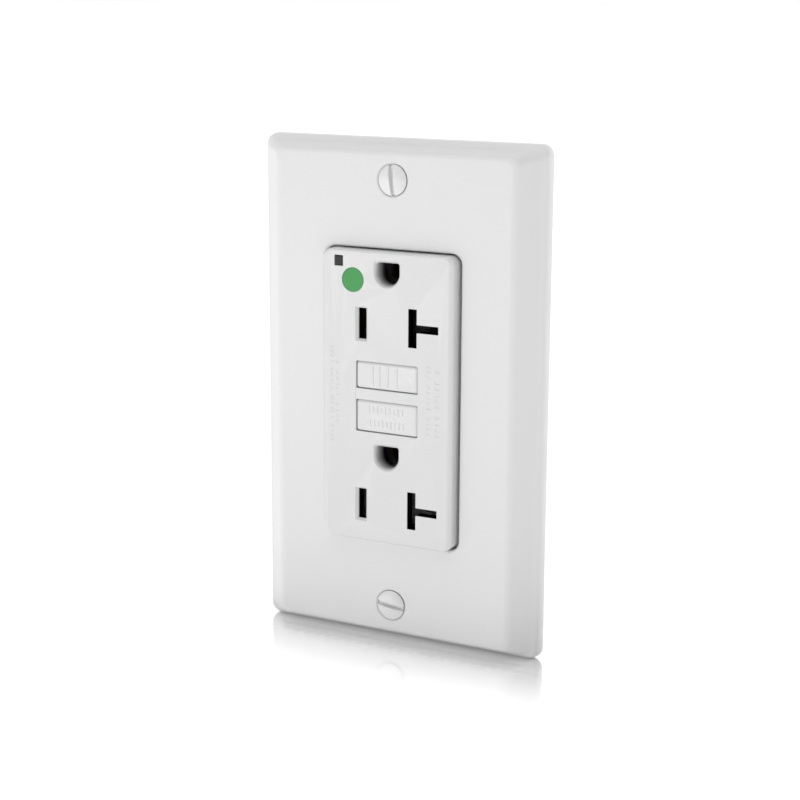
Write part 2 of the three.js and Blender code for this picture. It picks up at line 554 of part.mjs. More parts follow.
// ---------------------------------------------------------------- circuit board and its parts
// Right half of the outline, x and z, from the bottom up
const BOARD_HALF = [
  [14.6, -33.0], [14.6, -28.6], [17.6, -28.6], [17.6, -20.2], [11.95, -20.2], [11.95, -7.8],
  [17.6, -7.8], [17.6, 7.8], [11.95, 7.8], [11.95, 20.2], [17.6, 20.2], [17.6, 28.6],
  [14.6, 28.6], [14.6, 33.0],
];
const boardLeft = [...BOARD_HALF].reverse().map(([x, z]) => [-x, z]);
add("circuit_board", slab("Y", [...BOARD_HALF, ...boardLeft], [23.3, 24.9]), BOARD);
add("sensor_housing", cut(
  rod("Y", SENSOR, 8.8, [14.6, 22.9], 24),
  slab("Y", ring(8.1, 24, SENSOR), [15.3, 24], ring(4.1, 16, SENSOR)),
  rod("Y", SENSOR, 3.4, [13, 24], 16)), BLACK);
for (const [place, y] of [["front", 15.6], ["rear", 19.1]]) {
  const core = slab("Y", ring(7.7, 20, SENSOR), [y, y + 3.0], ring(4.6, 16, SENSOR));
  add(`sensor_core_${place}`, core, COPPER);
}
add("surge_varistor", rod("Z", [7.6, 18.2], 4.7, [-32.5, -28.7], 18), BLUE);
add("filter_capacitor", box([-12.6, -3.0], [15.2, PART_BACK], [-32.8, -28.6]), YELLOW);
add("control_chip", box([8.4, 14.8], [19.9, PART_BACK], [21.4, 30.6]), BLACK);
add("trip_thyristor", cut(
  rod("Y", [-8.8, 24.2], 2.4, [18.2, PART_BACK], 16),
  box([-12, -5], [17, 24], [25.9, 28])), BLACK);
add("test_resistor", join(
  rod("Z", [-15.0, 21.6], 1.3, [21.4, 27.6], 12),
  rod("Z", [-15.0, 21.6], 0.4, [20.9, 28.1], 8),
  box([-15.3, -14.7], [21.6, LEAD_END], [20.9, 21.5]),
  box([-15.3, -14.7], [21.6, LEAD_END], [27.5, 28.1])), TAN);

// ---------------------------------------------------------------- trip mechanism
const coilRod = (radius, z, n) => rod("Z", [0, COIL_Y], radius, z, n);
add("solenoid_frame", cut(
  join(
    box(about(0, 5.8), [12.0, PART_BACK], [7.3, 8.3]),
    box(about(0, 5.8), [12.0, PART_BACK], [21.2, 22.2]),
    box(about(0, 5.8), [12.0, 12.9], [7.3, 22.2])),
  coilRod(2.5, [5, 25], 16)), ZINC);
add("solenoid_bobbin", cut(
  join(coilRod(3.0, [8.5, 21.0], 16), coilRod(4.5, [8.5, 9.3], 20), coilRod(4.5, [20.2, 21.0], 20)),
  coilRod(2.4, [5, 25], 16)), BLACK);
add("solenoid_coil",
  slab("Z", ring(4.3, 20, [0, COIL_Y]), [9.5, 20.0], ring(3.15, 16, [0, COIL_Y])), COPPER);
add("solenoid_plunger", join(
  coilRod(2.1, [11.5, 26.4], 14),
  coilRod(3.3, [26.3, 27.2], 14),
  coilRod(1.15, [2.2, 11.7], 12)), STEEL);
add("plunger_spring",
  spring({ radius: 2.75, wire: 0.22, span: [22.55, 25.95], turns: 2.5, axis: "Z" }),
  STEEL).position.y = COIL_Y;

add("contact_carrier", cut(
  join(
    box(about(0, 3.6), [11.3, 17.7], [-7.4, -0.2]),
    box(about(0, 8.1), [13.85, 15.4], [-4.9, -2.7])),
  box(about(0, 2.7), [15.75, 17.15], [-9, 1]),
  box(about(0, 2.7), [17.0, 18], [-1.5, 0]), // way for the latch plate's tab
  rod("Y", [0, RESET_Z], 1.3, [0, 22], 14)), WHITE_DEVICE);
const latchSlot = [
  ...halfRing(1.3, Math.PI, 8, [0, -3.1]),
  ...halfRing(1.3, 0, 8, [0, -1.8]),
];
add("latch_plate", join(
  cut(box(about(0, 2.4), [16.05, 16.85], [-7.9, 1.8]), slab("Y", latchSlot, [15, 18])),
  box(about(0, 2.4), [16.05, 20.0], [1.0, 1.8])), STEEL);
for (const [pole, side, look] of POLES) {
  add(`contact_arm_${pole}`, join(
    box(sided(side, 4.7, 8.0), [12.9, 13.5], [-16.0, 1.0]),
    rod("Y", [side * CONTACT_X, CONTACT_Z], 1.5, [11.26, 13.1], 12)), look);
}
const RESET_PIN_PROFILE = [[0, -6.45], [1.0, -6.45], [1.0, 17.9], [0.5, 18.6], [0, 18.6]];
add("reset_pin", cut(
  turned(RESET_PIN_PROFILE, 12).translate([0, 0, RESET_Z]),
  box(about(0, 1.5), [13.9, 17.2], [RESET_Z - 1.5, RESET_Z + 0.1])), STEEL);
add("reset_spring",
  spring({ radius: 2.25, wire: 0.25, span: [-4.85, 8.85], turns: 5.5, axis: "Y" }),
  STEEL).position.z = RESET_Z;
add("test_contact", box([-9.3, 4.0], [4.2, 4.7], [3.2, 7.2]), BRASS);

export default object;
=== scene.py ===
# A duplex receptacle with test and reset buttons, its wall plate, screws, housings and inner
# parts, on a glossy floor. x runs right, z up and y back into the wall; the origin lies on the
# receptacle's face.
import math

import bpy
import bmesh
from mathutils import Matrix, Vector


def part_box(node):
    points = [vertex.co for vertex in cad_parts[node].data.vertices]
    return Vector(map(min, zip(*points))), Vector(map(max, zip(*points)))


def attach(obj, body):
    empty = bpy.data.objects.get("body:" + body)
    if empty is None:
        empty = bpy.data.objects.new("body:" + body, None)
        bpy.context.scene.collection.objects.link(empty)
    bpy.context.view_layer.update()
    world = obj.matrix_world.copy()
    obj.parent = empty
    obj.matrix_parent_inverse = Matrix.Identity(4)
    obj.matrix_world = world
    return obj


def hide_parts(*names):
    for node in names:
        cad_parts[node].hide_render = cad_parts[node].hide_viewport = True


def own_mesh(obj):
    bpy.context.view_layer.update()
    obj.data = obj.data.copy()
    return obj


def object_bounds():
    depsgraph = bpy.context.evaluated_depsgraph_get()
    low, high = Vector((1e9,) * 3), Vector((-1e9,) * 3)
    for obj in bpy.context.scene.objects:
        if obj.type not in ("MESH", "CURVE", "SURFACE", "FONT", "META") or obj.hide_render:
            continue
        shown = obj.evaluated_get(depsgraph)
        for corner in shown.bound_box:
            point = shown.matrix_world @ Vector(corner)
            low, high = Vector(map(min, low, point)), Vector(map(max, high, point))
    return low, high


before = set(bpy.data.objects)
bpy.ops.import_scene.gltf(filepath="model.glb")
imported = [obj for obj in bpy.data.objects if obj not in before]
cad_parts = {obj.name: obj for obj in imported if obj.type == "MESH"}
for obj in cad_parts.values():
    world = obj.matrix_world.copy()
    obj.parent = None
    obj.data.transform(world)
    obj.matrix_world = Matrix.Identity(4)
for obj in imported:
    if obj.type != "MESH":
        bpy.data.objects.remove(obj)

CAD_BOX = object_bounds()
SCENE = bpy.context.scene

# Shared places, mm
FACE = 9.2  # from the receptacle's face back to the wall plane
OUTLETS = (16.7, -24.6)  # z of each outlet's blade slots
GROUNDS = [z + 11.55 for z in OUTLETS]  # z of each ground hole
PLATE_SCREW_Z = 48.41
BOX_SCREW_Z = 41.67
TEST_Z, RESET_Z = 5.2, -3.8
LAMP = (-12.05, 30.4)  # x, z
DOT = (-8.5, 26.35)  # x, z
CORNERS = [(side, end) for side in (-1, 1) for end in (-1, 1)]
POSTS = [(side * 18.0, end * 32.6) for side, end in CORNERS]  # x, z of the assembly screws
POST_RADIUS = 2.5
TERMINAL_Y, TERMINAL_Z = 16, 14
GROUND_SCREW = (5.2, 25.3)  # y, z
THREAD_PITCH = 0.794

# ------------------------------------------------------------------ solids


def new_object(verts, faces):
    """A closed mesh with its normals outward."""
    mesh = bpy.data.meshes.new("t")
    mesh.from_pydata([tuple(v) for v in verts], [], [tuple(f) for f in faces])
    bm = bmesh.new()
    bm.from_mesh(mesh)
    bmesh.ops.remove_doubles(bm, verts=bm.verts, dist=1e-5)
    bmesh.ops.recalc_face_normals(bm, faces=bm.faces)
    if bm.calc_volume(signed=True) < 0:
        bmesh.ops.reverse_faces(bm, faces=bm.faces)
    bm.to_mesh(mesh)
    bm.free()
    piece = bpy.data.objects.new("t", mesh)
    SCENE.collection.objects.link(piece)
    return piece


def place(axis, first, second, along):
    """A point from its two coordinates across an axis and the one along it."""
    return {
        "Y": (first, along, second),
        "X": (along, first, second),
        "Z": (first, second, along),
    }[axis]


def side_faces(rows, n):
    """Quads between rings of n vertices."""
    return [(k * n + i, k * n + (i + 1) % n, (k + 1) * n + (i + 1) % n, (k + 1) * n + i)
            for k in range(rows - 1) for i in range(n)]


def slab(outline, start, stop, axis="Y"):
    n = len(outline)
    verts = [place(axis, *point, along) for along in (start, stop) for point in outline]
    return new_object(verts, [tuple(range(n)), tuple(range(n, 2 * n))] + side_faces(2, n))


def box(x0, x1, y0, y1, z0, z1):
    """A block; its x and z limits may come in either order."""
    x0, x1 = sorted((x0, x1))
    z0, z1 = sorted((z0, z1))
    return slab([(x0, z0), (x1, z0), (x1, z1), (x0, z1)], y0, y1)


def ring(first, second, radius, sides):
    angles = [(i + 0.5) / sides * math.tau for i in range(sides)]
    return [(first + radius * math.cos(t), second + radius * math.sin(t)) for t in angles]


def rod(first, second, radius, start, stop, sides=48, axis="Y"):
    return slab(ring(first, second, radius, sides), start, stop, axis)


def rounded(first, second, half_w, half_h, radius, steps=10):
    """Outline of a rectangle with rounded corners."""
    out = []
    for sign_w, sign_h, quarter in ((1, 1, 0), (-1, 1, 1), (-1, -1, 2), (1, -1, 3)):
        for i in range(steps + 1):
            t = (quarter + i / steps) * math.pi / 2
            out.append((first + sign_w * (half_w - radius) + radius * math.cos(t),
                        second + sign_h * (half_h - radius) + radius * math.sin(t)))
    return out


def loft(levels, axis="Y"):
    """levels: (outline, place along the axis)"""
    n, rows = len(levels[0][0]), len(levels)
    verts = [place(axis, *point, along) for outline, along in levels for point in outline]
    caps = [tuple(range(n)), tuple(range((rows - 1) * n, rows * n))]
    return new_object(verts, side_faces(rows, n) + caps)


def rounded_slab(x, z, half_w, half_h, radius, y0, y1, steps=10):
    return slab(rounded(x, z, half_w, half_h, radius, steps), y0, y1)


def rounded_loft(x, z, rows, steps=10):
    """rows: half width, half height, corner radius, y"""
    return loft([(rounded(x, z, *size, steps), y) for *size, y in rows])


def turned(profile, axis="Y", centre=(0.0, 0.0), sides=64):
    """profile: (radius, place along the axis), starting and ending on the axis"""
    verts, rows = [], []
    for radius, along in profile:
        if radius < 1e-6:
            rows.append([len(verts)])
            verts.append(place(axis, *centre, along))
            continue
        rows.append(list(range(len(verts), len(verts) + sides)))
        for i in range(sides):
            t = i / sides * math.tau
            verts.append(place(axis, centre[0] + radius * math.cos(t),
                               centre[1] + radius * math.sin(t), along))
    faces = []
    for low, high in zip(rows, rows[1:]):
        for i in range(sides):
            j = (i + 1) % sides
            if len(low) == 1:
                faces.append((low[0], high[j], high[i]))
            elif len(high) == 1:
                faces.append((low[i], low[j], high[0]))
            else:
                faces.append((low[i], low[j], high[j], high[i]))
    return new_object(verts, faces)


def tube(path, radius, sides):
    """A round wire along a list of points, with closed ends."""
    points = [Vector(p) for p in path]
    verts, up = [], None
    for k, point in enumerate(points):
        ahead = points[min(k + 1, len(points) - 1)] - points[max(k - 1, 0)]
        ahead.normalize()
        if up is None:
            up = ahead.orthogonal().normalized()
        up = (up - ahead * up.dot(ahead)).normalized()
        across = ahead.cross(up)
        for i in range(sides):
            t = i / sides * math.tau
            verts.append(point + (up * math.cos(t) + across * math.sin(t)) * radius)
    rows = len(points)
    caps = [tuple(range(sides)), tuple(range((rows - 1) * sides, rows * sides))]
    return new_object(verts, side_faces(rows, sides) + caps)


# ------------------------------------------------------------------ mesh tools


def apply_modifiers(piece):
    bpy.context.view_layer.update()
    graph = bpy.context.evaluated_depsgraph_get()
    mesh = bpy.data.meshes.new_from_object(
        piece.evaluated_get(graph), preserve_all_data_layers=True, depsgraph=graph)
    piece.modifiers.clear()
    piece.data = mesh


def boolean(operation, base, parts):
    """Applies the parts to the base in turn and removes them."""
    for part in parts:
        modifier = base.modifiers.new("b", "BOOLEAN")
        modifier.operation = operation
        modifier.object = part
        modifier.solver = "MANIFOLD"
    apply_modifiers(base)
    for part in parts:
        bpy.data.objects.remove(part)
    if not len(base.data.polygons):
        raise RuntimeError("a boolean left nothing")
    return base


def join(base, *parts):
    return boolean("UNION", base, parts)


def cut(base, *parts):
    return boolean("DIFFERENCE", base, parts)


def meet(base, *parts):
    return boolean("INTERSECT", base, parts)


def tidy(piece, dist=1e-4):
    """Flat areas back to single faces, so that bevels and shading are clean."""
    bm = bmesh.new()
    bm.from_mesh(piece.data)
    bmesh.ops.remove_doubles(bm, verts=bm.verts, dist=dist)
    bmesh.ops.dissolve_degenerate(bm, dist=dist, edges=bm.edges)
    bmesh.ops.dissolve_limit(bm, angle_limit=math.radians(0.3), verts=bm.verts, edges=bm.edges)
    bm.to_mesh(piece.data)
    bm.free()


def flat_regions(bm):
    """The number of the flat region each face lies in, and the regions' areas."""
    region, areas = [-1] * len(bm.faces), []
    for seed in bm.faces:
        if region[seed.index] >= 0:
            continue
        number, stack, area = len(areas), [seed], 0.0
        region[seed.index] = number
        while stack:
            face = stack.pop()
            area += face.calc_area()
            for edge in face.edges:
                for other in edge.link_faces:
                    if region[other.index] < 0 and other.normal.dot(face.normal) > 0.99999:
                        region[other.index] = number
                        stack.append(other)
        areas.append(area)
    return region, areas


def smooth_group(seed, vert, left):
    """Faces round a vertex reached from seed over smooth edges; they are taken out of left."""
    group, stack = [seed], [seed]
    while stack:
        for edge in stack.pop().edges:
            if edge.smooth and vert in edge.verts:
                for other in edge.link_faces:
                    if other.index in left:
                        left.discard(other.index)
                        group.append(other)
                        stack.append(other)
    return group


def shade(piece, sharp):
    """Corner normals weighted by whole flat regions: flats stay flat, fillets run into them."""
    mesh = piece.data
    for polygon in mesh.polygons:
        polygon.use_smooth = True
    mesh.set_sharp_from_angle(angle=math.radians(sharp))
    bm = bmesh.new()
    bm.from_mesh(mesh)
    bm.faces.ensure_lookup_table()
    region, areas = flat_regions(bm)
    normals = [None] * len(mesh.loops)
    for vert in bm.verts:
        left = {face.index for face in vert.link_faces}
        while left:
            seed = bm.faces[left.pop()]
            group = smooth_group(seed, vert, left)
            normal, seen = Vector((0, 0, 0)), set()
            for face in group:
                number = region[face.index]
                if number not in seen:
                    seen.add(number)
                    normal += face.normal * areas[number] ** 2
            normal = normal.normalized() if normal.length > 0 else seed.normal
            for face in group:
                for loop in face.loops:
                    if loop.vert is vert:
                        normals[loop.index] = tuple(normal)
    bm.free()
    mesh.normals_split_custom_set(normals)


def add_bevel(piece, width, angle):
    bevel = piece.modifiers.new("edge", "BEVEL")
    bevel.width = width
    bevel.segments = 2
    bevel.limit_method = "ANGLE"
    bevel.angle_limit = math.radians(angle)
    return bevel


def soften(piece, width=0, angle=50, sharp=38):
    """Bevels edges over `angle` degrees; edges over `sharp` degrees stay sharp in shading."""
    tidy(piece)
    if width:
        bevel = add_bevel(piece, width, angle)
        bevel.use_clamp_overlap = True
        bevel.harden_normals = False
        bevel.miter_outer = "MITER_ARC"
        apply_modifiers(piece)
    shade(piece, sharp)


def finish(piece, name, look, node, body="root", turn=None):
    """Names a piece, puts it in metres and onto its body, in place of its CAD node."""
    piece.name = piece.data.name = name
    if turn is not None:
        piece.data.transform(turn)
    piece.data.transform(Matrix.Scale(0.001, 4) @ Matrix.Translation((0, FACE, 0)))
    piece.data.materials.clear()
    piece.data.materials.append(LOOKS[look])
    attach(piece, body)
    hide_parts(node)


# ------------------------------------------------------------------ shader tools

LOOKS = {}  # materials by name


def new_material(name):
    material = bpy.data.materials.new(name)
    material.use_nodes = True
    LOOKS[name] = material
    return material.node_tree, material.node_tree.nodes["Principled BSDF"]


def feed(tree, node, inputs):
    """Links the sockets and sets the values given for a node's inputs."""
    for key, value in inputs.items():
        if isinstance(value, bpy.types.NodeSocket):
            tree.links.new(value, node.inputs[key])
        else:
            node.inputs[key].default_value = value


def add(tree, kind, inputs=None, **settings):
    node = tree.nodes.new("ShaderNode" + kind)
    for key, value in settings.items():
        setattr(node, key, value)
    feed(tree, node, inputs or {})
    return node


def noise(tree, space, scale, detail=3.0, rough=0.5):
    inputs = {"Scale": scale, "Detail": detail, "Roughness": rough, "Vector": space}
    return add(tree, "TexNoise", inputs).outputs["Fac"]


def remap(tree, value, low, high, start=0.3, stop=0.7, **settings):
    """Carries start..stop over to low..high."""
    inputs = {"Value": value, "From Min": start, "From Max": stop, "To Min": low, "To Max": high}
    return add(tree, "MapRange", inputs, **settings).outputs["Result"]


def smooth_remap(*args):
    return remap(*args, interpolation_type="SMOOTHSTEP")


def calculate(tree, operation, *values, clamp=False):
    inputs = dict(enumerate(values))
    return add(tree, "Math", inputs, operation=operation, use_clamp=clamp).outputs[0]


def mix_colors(tree, factor, *colors):
    first, second = [(*c, 1) if isinstance(c, tuple) else c for c in colors]
    inputs = {"Factor": factor, 6: first, 7: second}
    return add(tree, "Mix", inputs, data_type="RGBA").outputs[2]


def worn_edge(tree, start, stop):
    """1 on sharp outer edges."""
    return remap(tree, add(tree, "NewGeometry").outputs["Pointiness"], 0, 1, start, stop)


def object_space(tree):
    return add(tree, "TexCoord").outputs["Object"]


def mapped_space(tree, **mapping):
    inputs = {key: value for key, value in mapping.items()}
    inputs["Vector"] = object_space(tree)
    return add(tree, "Mapping", inputs).outputs["Vector"]


def bump(tree, height, strength, distance):
    inputs = {"Strength": strength, "Distance": distance, "Height": height}
    return add(tree, "Bump", inputs).outputs["Normal"]


def scaled(color, factor):
    return tuple(min(1.0, c * factor) for c in color)


# ------------------------------------------------------------------ materials


def plastic(name, color, rough, spread, grain, grain_scale, edge,
            specular=0.5, tone=0.97, coat=0.0):
    """Moulded plastic: faint flow variation, fine grain, uneven gloss and rubbed edges."""
    tree, bsdf = new_material(name)
    space = object_space(tree)
    flow = noise(tree, space, scale=42, detail=4, rough=0.55)
    base = mix_colors(tree, remap(tree, flow, 0, 1), scaled(color, tone), color)
    base = mix_colors(tree, worn_edge(tree, 0.52, 0.66), base, scaled(color, edge))
    gloss = noise(tree, space, scale=260, detail=5, rough=0.6)
    grains = noise(tree, space, scale=grain_scale, detail=2, rough=0.6)
    feed(tree, bsdf, {
        "Base Color": base,
        "Roughness": remap(tree, gloss, rough - spread / 2, rough + spread / 2),
        "Normal": bump(tree, grains, strength=grain, distance=0.00002),
        "Specular IOR Level": specular,
        "Coat Weight": coat,
        "Coat Roughness": 0.08,
    })


def metal(name, color, rough, spread, brushed, stain, metallic=1.0):
    """Stamped or turned metal: drawn streaks, dull patches and brighter edges."""
    tree, bsdf = new_material(name)
    streak = noise(tree, mapped_space(tree, Scale=brushed), scale=480, detail=5, rough=0.6)
    patch = noise(tree, object_space(tree), scale=170, detail=4, rough=0.6)
    dull = remap(tree, patch, 0, 1, 0.35, 0.75)
    base = mix_colors(tree, dull, color, scaled(color, stain))
    base = mix_colors(tree, worn_edge(tree, 0.52, 0.62), base, scaled(color, 1.08))
    gloss = remap(tree, patch, rough - spread / 2, rough + spread / 2)
    feed(tree, bsdf, {
        "Base Color": base,
        "Roughness": calculate(tree, "MULTIPLY_ADD", streak, spread, gloss),
        "Metallic": metallic,
        "Normal": bump(tree, streak, strength=0.25, distance=0.00003),
    })


def windings(name, color, ridges, direction):
    """Enamelled wire laid side by side: fine parallel ridges with uneven colour."""
    tree, bsdf = new_material(name)
    space = object_space(tree)
    wave = add(tree, "TexWave", {"Scale": ridges, "Distortion": 0.6, "Vector": space},
               wave_type="BANDS", bands_direction=direction).outputs["Fac"]
    base = mix_colors(tree, wave, scaled(color, 0.55), color)
    uneven = remap(tree, noise(tree, space, scale=350), 0, 0.6)
    feed(tree, bsdf, {
        "Base Color": mix_colors(tree, uneven, base, scaled(color, 1.2)),
        "Metallic": 0.8,
        "Roughness": remap(tree, noise(tree, space, scale=700), 0.25, 0.4),
        "Normal": bump(tree, wave, strength=0.9, distance=0.0001),
    })


def board(name):
    """Green circuit board with a fine brick pattern in the x-z plane."""
    tree, bsdf = new_material(name)
    space = object_space(tree)
    brick = add(tree, "TexBrick", {
        "Scale": 210,
        "Mortar Size": 0.055,
        "Color1": (0.013, 0.12, 0.045, 1),
        "Color2": (0.011, 0.1, 0.04, 1),
        "Mortar": (0.03, 0.2, 0.07, 1),
    })
    turn = add(tree, "Mapping", {"Rotation": (math.pi / 2, 0, 0), "Vector": space})
    feed(tree, brick, {"Vector": turn.outputs["Vector"]})
    cloud = remap(tree, noise(tree, space, scale=300), 0, 0.3)
    feed(tree, bsdf, {
        "Base Color": mix_colors(tree, cloud, brick.outputs["Color"], (0.02, 0.16, 0.06)),
        "Roughness": remap(tree, noise(tree, space, scale=500), 0.25, 0.42),
        "Normal": bump(tree, brick.outputs["Fac"], strength=0.4, distance=0.00003),
    })


def paint_inside_shade(name):
    """Painted shade: the colour turns near-black inside the slots and in the hollow behind the face,
    deepening with depth.
    """
    tree = LOOKS[name].node_tree
    bsdf = tree.nodes["Principled BSDF"]
    split = add(tree, "SeparateXYZ", {0: object_space(tree)})
    x, y, z = split.outputs

    def calc(operation, *values):
        clamp = operation in ("ADD", "MULTIPLY")
        return calculate(tree, operation, *values, clamp=clamp)

    def within(value, centre, half):
        offset = calc("SUBTRACT", value, centre / 1000)
        return calc("LESS_THAN", calc("ABSOLUTE", offset), half / 1000)

    def zone(x_centre, x_half, z_half, *z_centres):
        """1 in one or two rectangles of the face, in mm."""
        across = within(x, x_centre, x_half)
        bands = [within(z, centre, z_half) for centre in z_centres]
        rows = calc("ADD", *bands) if len(bands) > 1 else bands[0]
        return calc("MULTIPLY", across, rows)

    def deeper(start, stop):
        """Rises from 0 to 1 between two depths behind the face, in mm."""
        return remap(tree, y, 0, 1, start / 1000, stop / 1000)

    tee_slots = zone(8.97, 3.9, 4.5, *OUTLETS)
    # the ground holes are wide enough to let some light down their walls
    holes = zone(0.0, 4.2, 4.2, *GROUNDS)
    # and the walls of the button openings show white when a button is pressed
    keys = zone(0.0, 8.0, 8.4, 0.3)
    plain = calc("MULTIPLY", deeper(0.6, 1.1), calc("SUBTRACT", 1.0, keys))
    dark = calc("MAXIMUM", plain, calc("MULTIPLY", keys, deeper(2.1, 2.7)))
    dark = calc("MAXIMUM", dark, calc("MULTIPLY", tee_slots, deeper(0.04, 0.3)))
    outside_holes = calc("MULTIPLY", dark, calc("SUBTRACT", 1.0, holes))
    dark = calc("MAXIMUM", outside_holes, calc("MULTIPLY", holes, deeper(0.9, 4.2)))
    dark = calc("MULTIPLY", dark, zone(0.0, 14.8, 31.5, 0.0))
    # painted shade: the face colour is mixed to near-black and its specular cut where `dark` rises
    lit = bsdf.inputs["Base Color"].links[0].from_socket
    feed(tree, bsdf, {
        "Base Color": mix_colors(tree, dark, lit, (0.004, 0.004, 0.004)),
        "Specular IOR Level": calc("MULTIPLY", calc("SUBTRACT", 1.0, dark), 0.45),
    })


# colour, roughness, roughness spread, grain strength, grain scale, edge brightness,
# specular, brightness of the flow streaks, coat
PLASTICS = {
    "plate_white": ((0.83, 0.83, 0.829), 0.34, 0.06, 0.1, 1500, 1.01, 0.45, 1.0),
    "device_white": ((0.78, 0.78, 0.783), 0.34, 0.08, 0.3, 2800, 1.04, 0.45, 1.0),
    "button_white": ((0.8, 0.8, 0.801), 0.3, 0.08, 0.25, 2600, 1.04, 0.45, 1.0),
    "screw_white": ((0.86, 0.86, 0.858), 0.24, 0.1, 0.3, 1800, 0.86, 0.5, 0.96, 0.25),
    "lamp_window": ((0.01, 0.01, 0.011), 0.22, 0.05, 0.1, 1500, 1.6, 0.27, 0.7),
    "lamp_red": ((0.33, 0.02, 0.015), 0.15, 0.05, 0.1, 1200, 1.3),
    "green_mark": ((0.066, 0.362, 0.094), 0.42, 0.1, 0.25, 2400, 1.08, 0.4, 0.93),
    "body_grey": ((0.062, 0.066, 0.073), 0.46, 0.14, 0.75, 1700, 1.7, 0.45, 1.0),
    "middle_grey": ((0.46, 0.465, 0.462), 0.42, 0.12, 0.5, 1900, 1.15, 0.45, 1.0),
    "black_plastic": ((0.014, 0.014, 0.015), 0.4, 0.15, 0.5, 1800, 2.2, 0.5, 0.7),
    "blue_epoxy": ((0.02, 0.1, 0.36), 0.3, 0.12, 0.8, 500, 1.4),
    "yellow_film": ((0.56, 0.37, 0.05), 0.3, 0.1, 0.5, 700, 1.15),
    "tan_body": ((0.55, 0.42, 0.24), 0.4, 0.1, 0.4, 900, 1.15),
    "fibre": ((0.16, 0.06, 0.032), 0.75, 0.15, 1.0, 900, 1.5, 0.3, 0.7),
}
# colour, roughness, roughness spread, streak scale in x, y, z, stain brightness, metallic
METALS = {
    "zinc": ((0.62, 0.64, 0.665), 0.3, 0.18, (1, 1, 9), 0.82),
    "steel": ((0.47, 0.48, 0.49), 0.3, 0.2, (1, 9, 1), 0.7),
    # brass darkened about tenfold: painted shade for the ground contacts seen down the ground holes
    "brass_painted_shade": ((0.07, 0.045, 0.02), 0.5, 0.16, (1, 1, 8), 0.6),
    "brass": ((0.76, 0.54, 0.2), 0.25, 0.18, (1, 1, 8), 0.7),
    "silver": ((0.7, 0.69, 0.67), 0.24, 0.16, (1, 1, 8), 0.78),
    "green_metal": ((0.03, 0.24, 0.085), 0.32, 0.16, (1, 1, 5), 0.7, 0.75),
    "copper": ((0.66, 0.27, 0.12), 0.3, 0.15, (1, 8, 1), 0.7),
}
for name, values in PLASTICS.items():
    plastic(name, *values)
# painted shade inside the front cover's slots, holes and hollow
paint_inside_shade("device_white")
for name, values in METALS.items():
    metal(name, *values)
windings("copper_winding", color=(0.62, 0.24, 0.09), ridges=900, direction="X")
windings("coil_winding", color=(0.62, 0.22, 0.07), ridges=700, direction="Z")
board("board_green")

# ------------------------------------------------------------------ wall plate
PLATE_HALF_W, PLATE_HALF_H = 69.85 / 2, 114.3 / 2
OPENING_HALF_W, OPENING_HALF_H = 33.5 / 2, 66.56 / 2
# inset at the sides, inset at top and bottom, height off the wall, corner radius
PLATE_PROFILE = [
    (0, 0, 0, 2.6), (0.03, 0.03, 0.7, 2.58), (0.1, 0.1, 1.35, 2.54), (0.24, 0.24, 1.86, 2.47),
    (0.48, 0.48, 2.28, 2.38), (0.8, 0.78, 2.58, 2.28), (1.15, 1.08, 2.8, 2.2),
    (1.45, 1.28, 2.97, 2.15), (1.7, 1.38, 3.16, 2.12), (5.0, 2.36, 6.02, 2.1),
    (5.25, 2.47, 6.22, 2.1), (5.6, 2.66, 6.44, 2.08), (6.0, 2.92, 6.62, 2.05),
    (6.4, 3.24, 6.74, 2.0), (6.75, 3.55, 6.79, 1.96), (7.1, 3.9, 6.8, 1.9),
]
# half width, half height, corner radius, y
PLATE_HOLLOW = [(33.0, 55.2, 1.6, 0.5), (32.9, 55.1, 1.6, 0.0), (32.5, 54.7, 1.5, -1.4),
                (29.1, 52.5, 1.1, -4.0), (28.8, 52.2, 1.0, -4.1)]
# growth of the opening, height off the wall
OPENING_LIP = [(0.66, 6.86), (0.62, 6.8), (0.42, 6.74), (0.26, 6.64), (0.13, 6.49),
               (0.04, 6.28), (0.0, 6.0), (0.0, -2.0)]
# radius, y
COUNTERSINK = [(0, -7.0), (3.94, -7.0), (3.88, -6.82), (3.74, -6.71), (3.6, -6.58),
               (1.95, -4.7), (0, -4.7)]

outer = rounded_loft(0, 0, [(PLATE_HALF_W - inset_w, PLATE_HALF_H - inset_h, radius, -height)
                            for inset_w, inset_h, height, radius in PLATE_PROFILE], 12)
plate = cut(outer, rounded_loft(0, 0, PLATE_HOLLOW, 12))
bosses = [rod(0, end * PLATE_SCREW_Z, 2.95, -4.9, -1.45) for end in (1, -1)]
ribs = [box(x - 0.6, x + 0.6, -4.9, -1.7, end * 38, end * 52.6)
        for x in (-25, 25) for end in (1, -1)]
ribs += [box(side * 29.2, side * 22.6, -4.9, -2.6, z - 0.5, z + 0.5)
         for side in (1, -1) for z in (-20, 0, 20)]
plate = join(plate, *bosses, *ribs)
opening = rounded_loft(0, 0, [(OPENING_HALF_W + grow, OPENING_HALF_H + grow, 2.3 + grow, -height)
                              for grow, height in OPENING_LIP], 12)
holes = []
for end in (1, -1):
    z = end * PLATE_SCREW_Z
    holes += [rod(0, z, 1.95, -6.0, 2), turned(COUNTERSINK, centre=(0, z), sides=72)]
plate = cut(plate, opening, *holes)
soften(plate, sharp=30)
finish(plate, "wall_plate_shell", "plate_white", "wall_plate")

